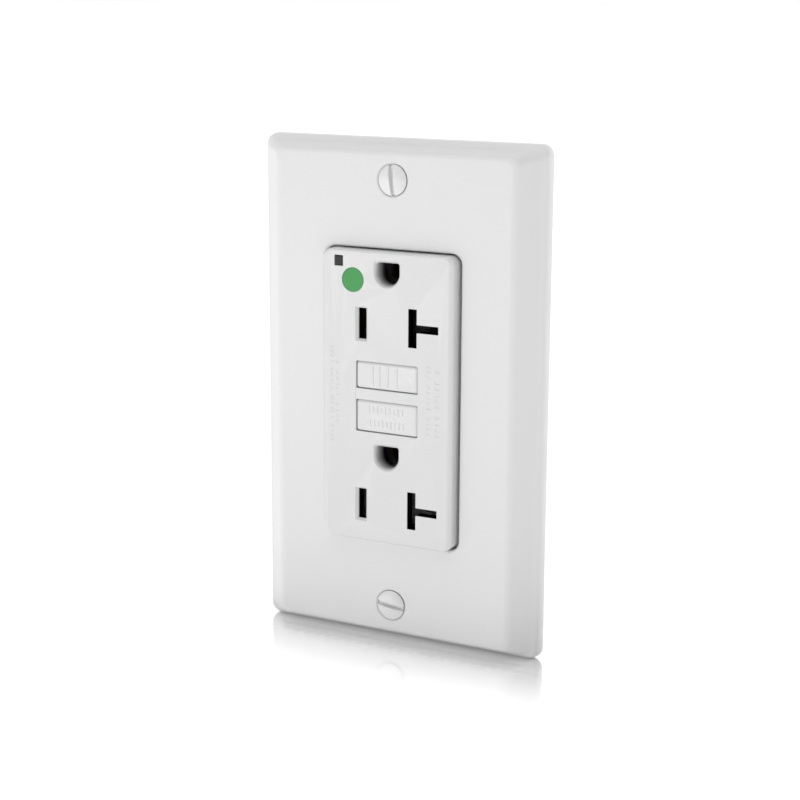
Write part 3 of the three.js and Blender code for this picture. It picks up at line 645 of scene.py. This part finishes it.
# ------------------------------------------------------------------ plate screws
# radius, y
OVAL_SCREW = [
    (0, -6.75), (0.6, -6.735), (1.2, -6.69), (1.75, -6.61), (2.25, -6.49), (2.7, -6.34),
    (3.05, -6.18), (3.3, -6.03), (3.42, -5.9), (3.36, -5.8), (1.75, -4.05), (1.62, -3.8),
    (1.6, 3.0), (1.35, 3.35), (1.0, 3.6), (0, 3.6),
]
for tag, end, angle in (("upper", 1, 1.47), ("lower", -1, 0.12)):
    screw = turned(OVAL_SCREW, sides=72)
    grooves = [cut(rod(0, 0, 1.9, y, y + 0.3, 32), rod(0, 0, 1.36, y - 1, y + 1, 32))
               for y in [-2.9 + THREAD_PITCH * k for k in range(8)]]
    screw = cut(screw, box(-5, 5, -8, -5.6, -0.5, 0.5), *grooves)
    soften(screw, 0.05, sharp=42)
    turn = Matrix.Translation((0, -0.8, end * PLATE_SCREW_Z)) @ Matrix.Rotation(angle, 4, "Y")
    finish(screw, f"plate_screw_{tag}_oval", "screw_white", f"plate_screw_{tag}",
           body=f"plate_screw_{tag}", turn=turn)

# ------------------------------------------------------------------ front cover
NOSE_HALF_W, NOSE_HALF_H = 16.1, 32.93
# inset at the sides, inset at top and bottom, corner radius, depth behind the face
NOSE_PROFILE = [
    (1.05, 0.4, 1.5, 0.0), (0.95, 0.33, 1.55, 0.015), (0.82, 0.26, 1.62, 0.065),
    (0.5, 0.15, 1.78, 0.225), (0.24, 0.07, 1.92, 0.38), (0.1, 0.03, 2.0, 0.53),
    (0.03, 0.01, 2.06, 0.73), (0.0, 0.0, 2.1, 1.0), (0.0, 0.0, 2.1, 6.6),
]
# half width, half height, corner radius, y
FLANGE = [(20.95, 35.45, 2.2, -3.2), (21.25, 35.75, 2.4, -3.05), (21.4, 35.9, 2.5, -2.75),
          (21.4, 35.9, 2.5, 3.0)]
LEFT_SLOT = [(1.58, 3.98, 0.3, -9.4), (1.55, 3.95, 0.3, -9.2), (0.97, 3.47, 0.12, -8.55),
             (0.95, 3.45, 0.12, -4)]
# x, z from the slots' centre: a T lying on its side
TEE_SLOT = [(5.3, -4.3), (7.4, -4.3), (7.4, -0.92), (12.65, -0.92),
            (12.65, 0.88), (7.4, 0.88), (7.4, 4.3), (5.3, 4.3)]
GROUND_STEPS = [(-0.05, -9.4), (-0.02, -9.2), (0.2, -8.95), (0.5, -8.5), (0.5, -4)]  # inset, y
# columns of strokes: x, lowest z, highest z, spacing, stroke width
MARK_COLUMNS = ((-13.6, -10.6, 11.6, 1.15, 0.8), (-12.3, -6.0, 7.4, 1.3, 0.7),
                (10.5, -6.6, 8.6, 1.25, 1.0), (12.6, -6.8, 8.8, 1.4, 1.0))
MARK_HEIGHTS = (0.42, 0.62, 0.3, 0.52, 0.72)
MARK_STEPS = ((0.1, 0.1, -9.25), (0.06, 0.08, -9.2), (-0.04, 0.06, -9.1))  # growth, radius, y


def post(x, z, y0, y1, skin):
    """A round post for an assembly screw, trimmed to the housing's skin."""
    return meet(rod(x, z, POST_RADIUS, y0, y1, 32), skin)


def ground_outline(z, inset, steps=28):
    """A half round below and a flat top with softened corners."""
    radius, corner, top = 3.25 - inset, 0.45, z + 2.82 - inset
    out = []
    for i in range(steps + 1):
        t = math.pi + i / steps * math.pi
        out.append((radius * math.cos(t), z + radius * math.sin(t)))
    for x, start in ((radius - corner, 0.0), (-radius + corner, math.pi / 2)):
        for i in range(6):
            t = start + i / 5 * math.pi / 2
            out.append((x + corner * math.cos(t), top - corner + corner * math.sin(t)))
    return out


def stroke_marks():
    """Faint sunk strokes beside the buttons: plain short bars, no lettering."""
    marks = [box(-7.83, -7.6, -9.6, -9.12, -0.5, 2.15)]
    for x, z, highest, spacing, width in MARK_COLUMNS:
        k = 0
        while z < highest:
            height = MARK_HEIGHTS[k % 5]
            if k % 6 != 4:
                rows = [(width / 2 + grow, height / 2 + grow, radius, y)
                        for grow, radius, y in MARK_STEPS]
                marks.append(rounded_loft(x, z + height / 2, rows, 2))
            z += spacing * (1.0 if k % 3 else 0.8)
            k += 1
    return marks


nose = rounded_loft(0, 0, [(NOSE_HALF_W - inset_w, NOSE_HALF_H - inset_h, radius, -FACE + depth)
                           for inset_w, inset_h, radius, depth in NOSE_PROFILE])
cover = join(nose, rounded_loft(0, 0, FLANGE))
cover = cut(cover, rounded_slab(0, 0, 14.9, 31.6, 1.5, -6.6, -1.5, 6),
            rounded_slab(0, 0, 19.9, 34.4, 1.5, -1.6, 3.6, 6))
wells = [slab(ground_outline(z, -0.6), -6.9, -5.2) for z in GROUNDS]
posts = [post(x, z, -2.0, 2.9, rounded_slab(0, 0, 21.0, 35.5, 2.4, -3, 4)) for x, z in POSTS]
cover = join(cover, *wells, *posts)
cuts = []
for outlet, ground in zip(OUTLETS, GROUNDS):
    cuts.append(rounded_loft(-6.35, outlet, LEFT_SLOT, 3))
    cuts.append(slab([(x, outlet + z) for x, z in TEE_SLOT], -11, -4))
    cuts.append(loft([(ground_outline(ground, inset), y) for inset, y in GROUND_STEPS]))
for z, half_h in ((TEST_Z, 3.15), (-4.075, 3.675)):
    cuts.append(rounded_slab(0, z, 7.75, half_h, 0.35, -11, -4, 4))
cuts += [rounded_slab(*LAMP, 1.1, 1.2, 0.15, -11, -4, 3), rod(*DOT, 2.75, -11, -8.85, 72)]
cuts += [box(-13.9, 13.9, -1.5, 4, end * 33, end * 37) for end in (1, -1)]
cuts.append(box(18.4, 23, -1.5, 4, 21.7, 28.9))
cuts += [rod(x, z, 1.15, -1.2, 4, 24) for x, z in POSTS]
cover = cut(cover, *cuts)
cover = cut(cover, *stroke_marks())
soften(cover, 0.07, sharp=36)
finish(cover, "front_cover_moulding", "device_white", "front_cover")

# ------------------------------------------------------------------ buttons
# inset, y
BUTTON_CROWN = [(0.62, -9.09), (0.55, -9.083), (0.42, -9.045), (0.28, -8.96), (0.16, -8.84),
                (0.07, -8.68), (0.02, -8.5), (0.0, -8.25), (0.0, -6.0)]
TEST_STEM = [(0, -5.6), (1.3, -5.6), (1.3, 3.0), (0.5, 4.12), (0, 4.12)]  # radius, y
RESET_GROOVE_HEIGHTS = (0.9, 0.7, 0.88, 0.62, 0.9, 0.78, 0.66, 0.9, 0.74)  # half heights
RESET_GROOVE_WIDTHS = (0.2, 0.26, 0.17)  # half widths


def button(z0, z1):
    """A crowned cap with a wider flange behind it."""
    z, half_h = (z0 + z1) / 2, (z1 - z0) / 2 + 0.05
    rows = [(7.66 - inset, half_h - inset, 0.7 - inset * 0.6, y) for inset, y in BUTTON_CROWN]
    return join(rounded_loft(0, z, rows, 6), box(-8.5, 8.5, -6.3, -5.2, z0 - 0.5, z1 + 0.5))


def groove(x, z, half_w, half_h):
    return rounded_loft(x, z, [(half_w + 0.03, half_h + 0.03, 0.1, -9.2),
                               (half_w, half_h, 0.1, -9.09),
                               (half_w * 0.3, half_h - half_w * 0.7, 0.03, -8.93)], 3)


test = join(button(2.2, 8.2), turned(TEST_STEM, centre=(0, TEST_Z), sides=32))
test = cut(test, *[groove(x, 5.25, 0.2, 2.3) for x in (-3.3, -1.65, 0.45, 2.7)])
soften(test)
finish(test, "test_button_cap", "button_white", "test_button", "test_button")

grooves = []
for row, z in enumerate((-2.45, -5.55)):
    for k in range(9):
        grooves.append(groove(-4.25 + k * 1.03 + 0.25 * row, z,
                              RESET_GROOVE_WIDTHS[(k + row) % 3],
                              RESET_GROOVE_HEIGHTS[(k + 4 * row) % 9]))
reset = join(button(-7.6, -0.55), rod(0, RESET_Z, 1.6, -5.6, -3.4, 32))
reset = cut(reset, rod(0, RESET_Z, 1.05, -6.6, -3, 32), *grooves)
soften(reset)
finish(reset, "reset_button_cap", "button_white", "reset_button", "reset_button")

# ------------------------------------------------------------------ lamp window and green dot
LENS = [(0.78, 0.88, 0.1, -9.1), (0.93, 1.03, 0.14, -9.06), (1.0, 1.1, 0.16, -8.95),
        (1.0, 1.1, 0.16, -6.1)]  # half width, half height, corner radius, y
DOT_PROFILE = [(0, -9.15), (1.2, -9.155), (2.2, -9.16), (2.5, -9.15), (2.62, -9.12),
               (2.68, -9.06), (2.68, -8.88), (0, -8.88)]  # radius, y
lens = join(rounded_loft(*LAMP, LENS, 3),
            box(LAMP[0] - 1.5, LAMP[0] + 1.5, -6.3, -5.2, LAMP[1] - 1.1, LAMP[1] + 1.1),
            rod(*LAMP, 1.05, -5.4, 19.4, 32))
soften(lens, 0.04)
finish(lens, "lamp_window_pipe", "lamp_window", "led_light_pipe")
dot = turned(DOT_PROFILE, centre=DOT, sides=96)
soften(dot, sharp=50)
finish(dot, "green_dot_inlay", "green_mark", "green_dot")

# ------------------------------------------------------------------ strap
# x, z of the outline's upper right quarter
STRAP_QUARTER = [(19, 28.4), (15, 28.4), (15, 33.4), (13.5, 33.4), (13.5, 37.6), (19.8, 37.6),
                 (19.8, 46), (11, 46), (9.5, 47.5), (9.5, 51), (7.5, 53)]


def obround(z, half, radius, steps=16):
    """Outline of a level slot with round ends, centred on x = 0."""
    out = []
    for centre, start in ((half, -math.pi / 2), (-half, math.pi / 2)):
        for i in range(steps + 1):
            t = start + i / steps * math.pi
            out.append((centre + radius * math.cos(t), z + radius * math.sin(t)))
    return out


back = STRAP_QUARTER[::-1]
outline = STRAP_QUARTER + [(-x, z) for x, z in back]
outline += [(-x, -z) for x, z in STRAP_QUARTER] + [(x, -z) for x, z in back]
strap = slab(outline, -1.2, -0.1)
punches = [box(-13.4, 13.4, -2, 1, -9.6, 23.4), box(-13.4, 13.4, -2, 1, -30.2, -18.4),
           box(-16, -10.3, -2, 1, 28.55, 32.2)]
punches += [rod(0, z, 3.3, -2, 1) for z in GROUNDS]
for end in (1, -1):
    punches.append(slab(obround(end * BOX_SCREW_Z, 1.4, 2.05), -2, 1))
    punches.append(rod(0, end * PLATE_SCREW_Z, 1.75, -2, 1))
    punches += [rounded_slab(side * 12.55, end * z, 0.45, 1.1, 0.35, -2, 1, 4)
                for side in (1, -1) for z in (40.1, 43.5)]
strap = cut(strap, *punches)
pads = [box(side * 14.2, side * 19.4, -0.4, 0, end * 38.2, end * 45.4)
        for end in (1, -1) for side in (1, -1)]
tab = join(box(18.2, 20.35, -1.2, -0.1, 22.4, 28.2), box(19.15, 20.35, -1.2, 9.5, 22.4, 28.2))
tab = cut(tab, rod(*GROUND_SCREW, 2.1, 18, 22, axis="X"))
strap = join(strap, *pads, tab)
soften(strap, 0.09)
finish(strap, "strap_stamping", "zinc", "mounting_strap")

# ------------------------------------------------------------------ box screws, retainers
# radius, y
BOX_SCREW = [
    (0, -3.35), (0.9, -3.33), (1.8, -3.24), (2.5, -3.02), (3.0, -2.68), (3.27, -2.25),
    (3.35, -1.9), (3.35, -1.5), (3.25, -1.38), (1.6, -1.35), (1.6, 15.2), (1.3, 15.75),
    (1.0, 16), (0, 16),
]


def ring_loft(rows, axis):
    """rows: radius, place along the axis"""
    return loft([(ring(0, 0, radius, 24), along) for radius, along in rows], axis)


def threads(start, stop, radius, root, axis="Y"):
    """Cutters for ring grooves that read as a rolled thread."""
    out = []
    rim = radius + 0.05
    while start < stop:
        out.append(cut(
            ring_loft([(radius + 0.3, start), (radius + 0.3, start + 0.42)], axis),
            ring_loft([(rim, start - 0.01), (root, start + 0.16), (root, start + 0.26),
                       (rim, start + 0.43)], axis)))
        start += THREAD_PITCH
    return out


for tag, end in (("upper", 1), ("lower", -1)):
    screw = cut(turned(BOX_SCREW, sides=48), *threads(1.4, 14.8, 1.6, 1.34))
    screw = cut(screw, box(-4.5, 4.5, -4, -2.35, -0.45, 0.45),
                box(-0.42, 0.42, -4, -2.2, -1.9, 1.9))
    soften(screw, 0.05, angle=55, sharp=42)
    turn = Matrix.Translation((0, 0, end * BOX_SCREW_Z)) @ Matrix.Rotation(end * 0.5, 4, "Y")
    finish(screw, f"box_screw_{tag}_turned", "zinc", f"mounting_screw_{tag}",
           body=f"mounting_screw_{tag}", turn=turn)

for tag, end, y in (("upper", 1, 2.9), ("lower", -1, 0.25)):
    z = end * BOX_SCREW_Z
    card = cut(rounded_slab(0, z, 3.6, 3.2, 0.8, y, y + 0.8, 8), rod(0, z, 1.75, 0, 5))
    soften(card, 0.1, angle=40)
    finish(card, f"screw_retainer_{tag}_card", "fibre", f"screw_retainer_{tag}")

# ------------------------------------------------------------------ ground screw
HEX_TRIM = [(0, 21.0), (4.4, 21.0), (4.4, 23.6), (3.75, 24.1), (0, 24.1)]  # radius, x
screw = meet(rod(0, 0, 4.25, 21.9, 24.1, 6, "X"), turned(HEX_TRIM, "X"))
screw = join(screw, rod(0, 0, 4.1, 21.7, 22.2, 64, "X"), rod(0, 0, 1.95, 17.9, 22, 32, "X"))
screw = cut(screw, box(22.9, 25, -0.5, 0.5, -5, 5), *threads(18.1, 21.0, 1.95, 1.65, "X"))
soften(screw, 0.06, sharp=42)
finish(screw, "ground_screw_hex", "green_metal", "ground_screw", body="ground_screw",
       turn=Matrix.Translation((0, *GROUND_SCREW)))

# ------------------------------------------------------------------ middle housing
middle = cut(rounded_slab(0, 0, 21.3, 35.8, 2.5, 3.25, 10.6),
             rounded_slab(0, 0, 19.7, 34.2, 1.5, 2.9, 9.2))
parts = [post(x, z, 3.3, 9.7, rounded_slab(0, 0, 21.0, 35.5, 2.5, 0, 12)) for x, z in POSTS]
parts += [box(x - 0.4, x + 0.4, 5, 9.5, z0, z1)
          for x in (-3.6, 3.6) for z0, z1 in ((10.2, 22.4), (-30.5, -18.6))]
parts.append(box(-9.2, -8.1, 5.0, 9.5, 3.2, 7.2))
middle = join(middle, *parts)
cuts = [rod(x, z, 1.5, 2, 12, 32) for x, z in POSTS]
cuts += [rod(0, z, 2.9, 8, 12) for z in GROUNDS]
cuts += [rod(0, RESET_Z, 1.5, 8, 12, 32), rod(*LAMP, 1.5, 8, 12, 32),
         box(18.85, 23, 2, 9.85, 21.7, 28.9)]
for side in (-1, 1):
    cuts += [rod(side * 6.3, -0.8, 2.0, 8, 12, 32),
             box(side * 14.7, side * 16.3, 8, 12, 10.2, 17.8)]
# a groove across the top and the bottom
cuts += [box(-9, 9, 5.6, 6.4, end * 36.2 - 0.75, end * 36.2 + 0.75) for end in (-1, 1)]
middle = cut(middle, *cuts)
soften(middle, 0.12)
finish(middle, "middle_housing_moulding", "middle_grey", "middle_housing")

# ------------------------------------------------------------------ rear body
WIRE_HOLE = [(0, 20), (1.4, 20), (1.4, 29.3), (1.95, 30.1), (0, 30.1)]  # radius, y


def rear_skin(inset, y0, y1):
    rows = [(21.3, 35.8, 2.5, y0), (20.7, 35.2, 2.4, 29.0), (20.5, 35.0, 2.3, 29.5),
            (20.1, 34.6, 2.1, 29.85), (19.6, 34.1, 1.9, y1)]
    return rounded_loft(0, 0, [(w - inset, h - inset, radius, y) for w, h, radius, y in rows])


rear = cut(rear_skin(0, 10.9, 30.0),
           rounded_loft(0, 0, [(19.6, 34.1, 1.5, 10.4), (18.9, 33.4, 1.3, 28.2)]))
parts, cuts = [], []
for (side, end), (post_x, post_z) in zip(CORNERS, POSTS):
    block = box(side * 12.3, side * 21.2, 10.9, 28.6, end * 8.3, end * 19.7)
    parts.append(meet(block, rear_skin(0.02, 10.9, 29.98)))
    parts.append(post(post_x, post_z, 10.9, 28.6, rear_skin(0.02, 10.9, 29.98)))
    # terminal bay, with a round clearance for its screw and two wire holes from the back
    cuts.append(box(side * 14.8, side * 23, 10.6, 21.2, end * 9.3, end * 18.7))
    cuts.append(rod(TERMINAL_Y, end * TERMINAL_Z, 2.4, *sorted((side * 12.75, side * 15)),
                    32, "X"))
    cuts += [turned(WIRE_HOLE, centre=(side * 16.95, end * z), sides=32)
             for z in (11.25, 16.75)]
    cuts.append(box(side * 15.3, side * 23, 28.4, 31, end * 29.9, end * 37))
    cuts.append(rod(post_x, post_z, 1.5, 10, 31, 32))
cuts += [box(side * 12, side * 15, 10.6, 12.2, -16.6, -11.4) for side in (-1, 1)]
# shallow grooves in the back: long bars, two uprights and short bars, no lettering
cuts += [box(-9.5, 9.5, 29.75, 31, z - 0.25, z + 0.25) for z in (-28, -24.5, 24.5, 28)]
cuts += [box(x - 0.25, x + 0.25, 29.75, 31, -22, 22) for x in (-9.25, 9.25)]
cuts += [box(-2.6, 2.6, 29.75, 31, z - 0.35, z + 0.35) for z in (-6, -3, 0, 3, 6)]
rear = join(rear, *parts)
rear = cut(rear, *cuts)
soften(rear, 0.13)
finish(rear, "rear_body_moulding", "body_grey", "rear_body")

# ------------------------------------------------------------------ assembly screws
# radius, y
ASSEMBLY_SCREW = [
    (0, 0.1), (0.6, 0.3), (1.0, 0.9), (1.05, 28.45), (2.05, 28.45), (2.1, 28.7), (2.1, 29.1),
    (1.95, 29.5), (1.55, 29.8), (1.0, 29.93), (0, 29.98),
]
for number, (x, z) in enumerate(POSTS, 1):
    screw = cut(turned(ASSEMBLY_SCREW, sides=40), box(-0.28, 0.28, 29.1, 31, -1.4, 1.4),
                box(-1.4, 1.4, 29.1, 31, -0.28, 0.28))
    soften(screw, 0.04, angle=55, sharp=42)
    finish(screw, f"assembly_screw_{number}_cross", "steel", f"assembly_screw_{number}",
           turn=Matrix.Translation((x, 0, z)))

# ------------------------------------------------------------------ side terminals
# radius, x
BINDING_SCREW = [
    (0, 15.0), (1.7, 15.0), (2.0, 15.35), (2.0, 19.3), (3.85, 19.3), (4.0, 19.45),
    (4.0, 20.35), (3.9, 20.65), (3.6, 20.88), (3.1, 21.02), (2.3, 21.09), (0, 21.1),
]


def binding_screw():
    screw = cut(turned(BINDING_SCREW, "X"), *threads(15.6, 17.8, 2.0, 1.68, "X"))
    screw = cut(screw, box(20.1, 22, -0.5, 0.5, -5, 5), box(20.3, 22, -2.2, 2.2, -0.45, 0.45))
    soften(screw, 0.06, sharp=42)
    return screw


def pressure_clamp():
    """A plate with a screw hole, two wire channels and fine grooves on its inner face."""
    channels = [rod(17.75, s * 2.75, 0.75, -6, 6, 24) for s in (-1, 1)]
    grooves = [box(17.5, 18.12, -5, 5, s * 2.75 + d - 0.06, s * 2.75 + d + 0.06)
               for s in (-1, 1) for d in (-0.9, 0.9)]
    clamp = cut(slab(rounded(0, 0, 4.4, 4.2, 0.5, 5), 18.0, 19.0, "X"),
                rod(0, 0, 2.35, 17, 20, axis="X"), *channels, *grooves)
    soften(clamp, 0.07)
    return clamp


for end_name, end in (("load", 1), ("line", -1)):
    for pole, look, angle in (("hot", "brass", math.pi), ("neutral", "silver", 0.0)):
        tag = f"{end_name}_{pole}"
        turn = (Matrix.Translation((0, TERMINAL_Y, end * TERMINAL_Z))
                @ Matrix.Rotation(angle, 4, "Z"))
        finish(binding_screw(), f"binding_screw_{tag}", look, f"terminal_screw_{tag}",
               body=f"screw_{tag}", turn=turn)
        finish(pressure_clamp(), f"pressure_clamp_{tag}", look, f"wire_clamp_{tag}",
               body=f"clamp_{tag}", turn=turn)

# ------------------------------------------------------------------ springs
RESET_SPRING_END = 8.85  # y of its rear end
PLUNGER_SPRING_START = 22.55  # z of its lower end


def spring(name, node, radius, wire, start, stop, turns, axis, centre):
    points = []
    steps = int(turns * 28)
    for k in range(steps + 1):
        t = k / (turns * 28)
        angle = t * turns * math.tau
        points.append(place(axis, centre[0] + radius * math.cos(angle),
                            centre[1] + radius * math.sin(angle), start + (stop - start) * t))
    piece = tube(points, wire, 10)
    soften(piece, sharp=60)
    finish(piece, name, "steel", node)
    return piece


coil = spring("reset_spring_wire", "reset_spring", radius=2.25, wire=0.25, start=-4.85,
              stop=RESET_SPRING_END, turns=5.5, axis="Y", centre=(0, RESET_Z))
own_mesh(coil)
coil = spring("plunger_spring_wire", "plunger_spring", radius=2.75, wire=0.22,
              start=PLUNGER_SPRING_START, stop=25.95, turns=2.5, axis="Z", centre=(0, 18.5))
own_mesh(coil)

# ------------------------------------------------------------------ pieces that keep their CAD solid
KEPT = {
    "lamp_red": ["status_led"],
    # the ground contacts take the darkened brass, painted shade down the holes
    "brass_painted_shade": ["ground_contact_upper", "ground_contact_lower"],
    "brass": ["self_ground_clip", "load_contact_hot", "line_terminal_hot", "contact_arm_hot",
              "test_contact"],
    "silver": ["load_contact_neutral", "line_terminal_neutral", "contact_arm_neutral"],
    "copper": ["line_lead_hot", "line_lead_neutral"],
    "board_green": ["circuit_board"],
    "black_plastic": ["sensor_housing", "control_chip", "trip_thyristor", "solenoid_bobbin"],
    "copper_winding": ["sensor_core_front", "sensor_core_rear"],
    "blue_epoxy": ["surge_varistor"],
    "yellow_film": ["filter_capacitor"],
    "tan_body": ["test_resistor"],
    "zinc": ["solenoid_frame"],
    "coil_winding": ["solenoid_coil"],
    "steel": ["solenoid_plunger", "latch_plate", "reset_pin"],
    "button_white": ["contact_carrier"],
}
for look, names in KEPT.items():
    for name in names:
        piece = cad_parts[name]
        piece.data.materials.clear()
        piece.data.materials.append(LOOKS[look])
        low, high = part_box(name)
        add_bevel(piece, min(0.00012, min(high - low) * 0.12), 40)

# ------------------------------------------------------------------ floor (metres from here on)
FLOOR_HALF = 40.0
# the mirror image's fades: axis, value before, value after, start, stop
FLOOR_FADES = ((1, 1.0, 0.0, 0.012, 0.06), (0, 0.0, 1.0, -0.048, -0.038),
               (0, 1.0, 0.0, 0.058, 0.07))


def floor_material():
    """Pale floor with a mirror image only close round the plate's foot."""
    tree, bsdf = new_material("floor_gloss")
    cloud = noise(tree, object_space(tree), scale=3, detail=2)
    feed(tree, bsdf, {
        "Base Color": (0.82, 0.82, 0.82, 1),
        "Roughness": remap(tree, cloud, 0.55, 0.6),
        "Specular IOR Level": 0.2,
        "Emission Color": (1, 1, 1, 1),
        "Emission Strength": 0.52,
    })
    shine = add(tree, "BsdfGlossy", {"Roughness": 0.04, "Color": (1, 1, 1, 1)})
    split = add(tree, "SeparateXYZ", {0: object_space(tree)})
    mask = smooth_remap(tree, split.outputs[1], 0.0, 0.9, -0.035, 0.012)
    for axis, *fade in FLOOR_FADES:
        side = smooth_remap(tree, split.outputs[axis], *fade)
        mask = calculate(tree, "MULTIPLY", mask, side)
    mix = add(tree, "MixShader", {0: mask, 1: bsdf.outputs[0], 2: shine.outputs[0]})
    feed(tree, tree.nodes["Material Output"], {"Surface": mix.outputs[0]})


mesh = bpy.data.meshes.new("floor")
mesh.from_pydata([(x * FLOOR_HALF, y * FLOOR_HALF, CAD_BOX[0][2])
                  for x, y in ((-1, -1), (1, -1), (1, 1), (-1, 1))], [], [(0, 1, 2, 3)])
floor = bpy.data.objects.new("floor", mesh)
SCENE.collection.objects.link(floor)
floor_material()
mesh.materials.append(LOOKS["floor_gloss"])

# ------------------------------------------------------------------ world and light
BASE_LEVEL = 0.66
# azimuth, elevation, cosine where the lobe starts, cosine where it is full, strength
LOBES = (
    (-40, 10, 0.2, 1.0, 0.7),  # front left
    (62, 5, 0.36, 0.93, 0.06),  # dark at the right
    (0, 78, 0.66, 1.0, 1.9),  # overhead
    (142, 12, 0.78, 0.96, 2.3),  # behind right
    (-152, 14, 0.82, 0.95, 1.35),  # behind left: what the glossy floor mirrors
)


def light_direction(azimuth, elevation):
    """Seen from the object: azimuth 0 is straight in front, positive to the right."""
    a, e = math.radians(azimuth), math.radians(elevation)
    return Vector((math.sin(a) * math.cos(e), -math.cos(a) * math.cos(e), math.sin(e)))


world = bpy.data.worlds.new("studio")
SCENE.world = world
world.use_nodes = True
tree = world.node_tree
tree.nodes.clear()
output = add(tree, "OutputWorld")
view = add(tree, "TexCoord").outputs["Generated"]
level = BASE_LEVEL
for azimuth, elevation, start, full, strength in LOBES:
    dot = add(tree, "VectorMath", {0: view, 1: light_direction(azimuth, elevation)},
              operation="DOT_PRODUCT")
    lobe = smooth_remap(tree, dot.outputs["Value"], 0, 1, start, full)
    level = add(tree, "Mix", {0: lobe, 2: level, 3: strength}, data_type="FLOAT").outputs[0]
studio = add(tree, "Background", {"Strength": level})
white = add(tree, "Background", {"Color": (1, 1, 1, 1), "Strength": 1.0})
to_camera = add(tree, "LightPath").outputs["Is Camera Ray"]
pick = add(tree, "MixShader", {0: to_camera, 1: studio.outputs[0], 2: white.outputs[0]})
feed(tree, output, {"Surface": pick.outputs[0]})

lamp = bpy.data.lights.new("key", "AREA")
lamp.shape = "RECTANGLE"
lamp.size = lamp.size_y = 0.16
lamp.energy = 0.095
key = bpy.data.objects.new("key", lamp)
direction = light_direction(azimuth=-34, elevation=-13)
key.location = direction * 0.26
key.rotation_euler = direction.to_track_quat("Z", "Y").to_euler()
key.visible_camera = False
SCENE.collection.objects.link(key)

# ------------------------------------------------------------------ camera
CAMERA_PLACE = (0.1797, -0.346 + FACE / 1000, 0.0868)
YAW, PITCH, ROLL = math.radians(27.63), math.radians(12.79), math.radians(0.29)

camera = bpy.data.cameras.new("camera")
camera.sensor_fit = "HORIZONTAL"
camera.sensor_width = 36.0
camera.lens = 79.641
camera.clip_start = 0.01
camera.clip_end = 90
eye = bpy.data.objects.new("camera", camera)
# yaw turns it to the left, pitch down
forward = Vector((-math.sin(YAW) * math.cos(PITCH), math.cos(YAW) * math.cos(PITCH),
                  -math.sin(PITCH)))
right = forward.cross(Vector((0, 0, 1))).normalized()
up = right.cross(forward).normalized()
x_axis = right * math.cos(ROLL) + up * math.sin(ROLL)
y_axis = up * math.cos(ROLL) - right * math.sin(ROLL)
rotation = Matrix((x_axis, y_axis, -forward)).transposed()
eye.matrix_world = Matrix.Translation(CAMERA_PLACE) @ rotation.to_4x4()
SCENE.collection.objects.link(eye)
SCENE.camera = eye
SCENE.view_settings.view_transform = "Standard"
SCENE.view_settings.look = "None"
SCENE.view_settings.exposure = 0.0
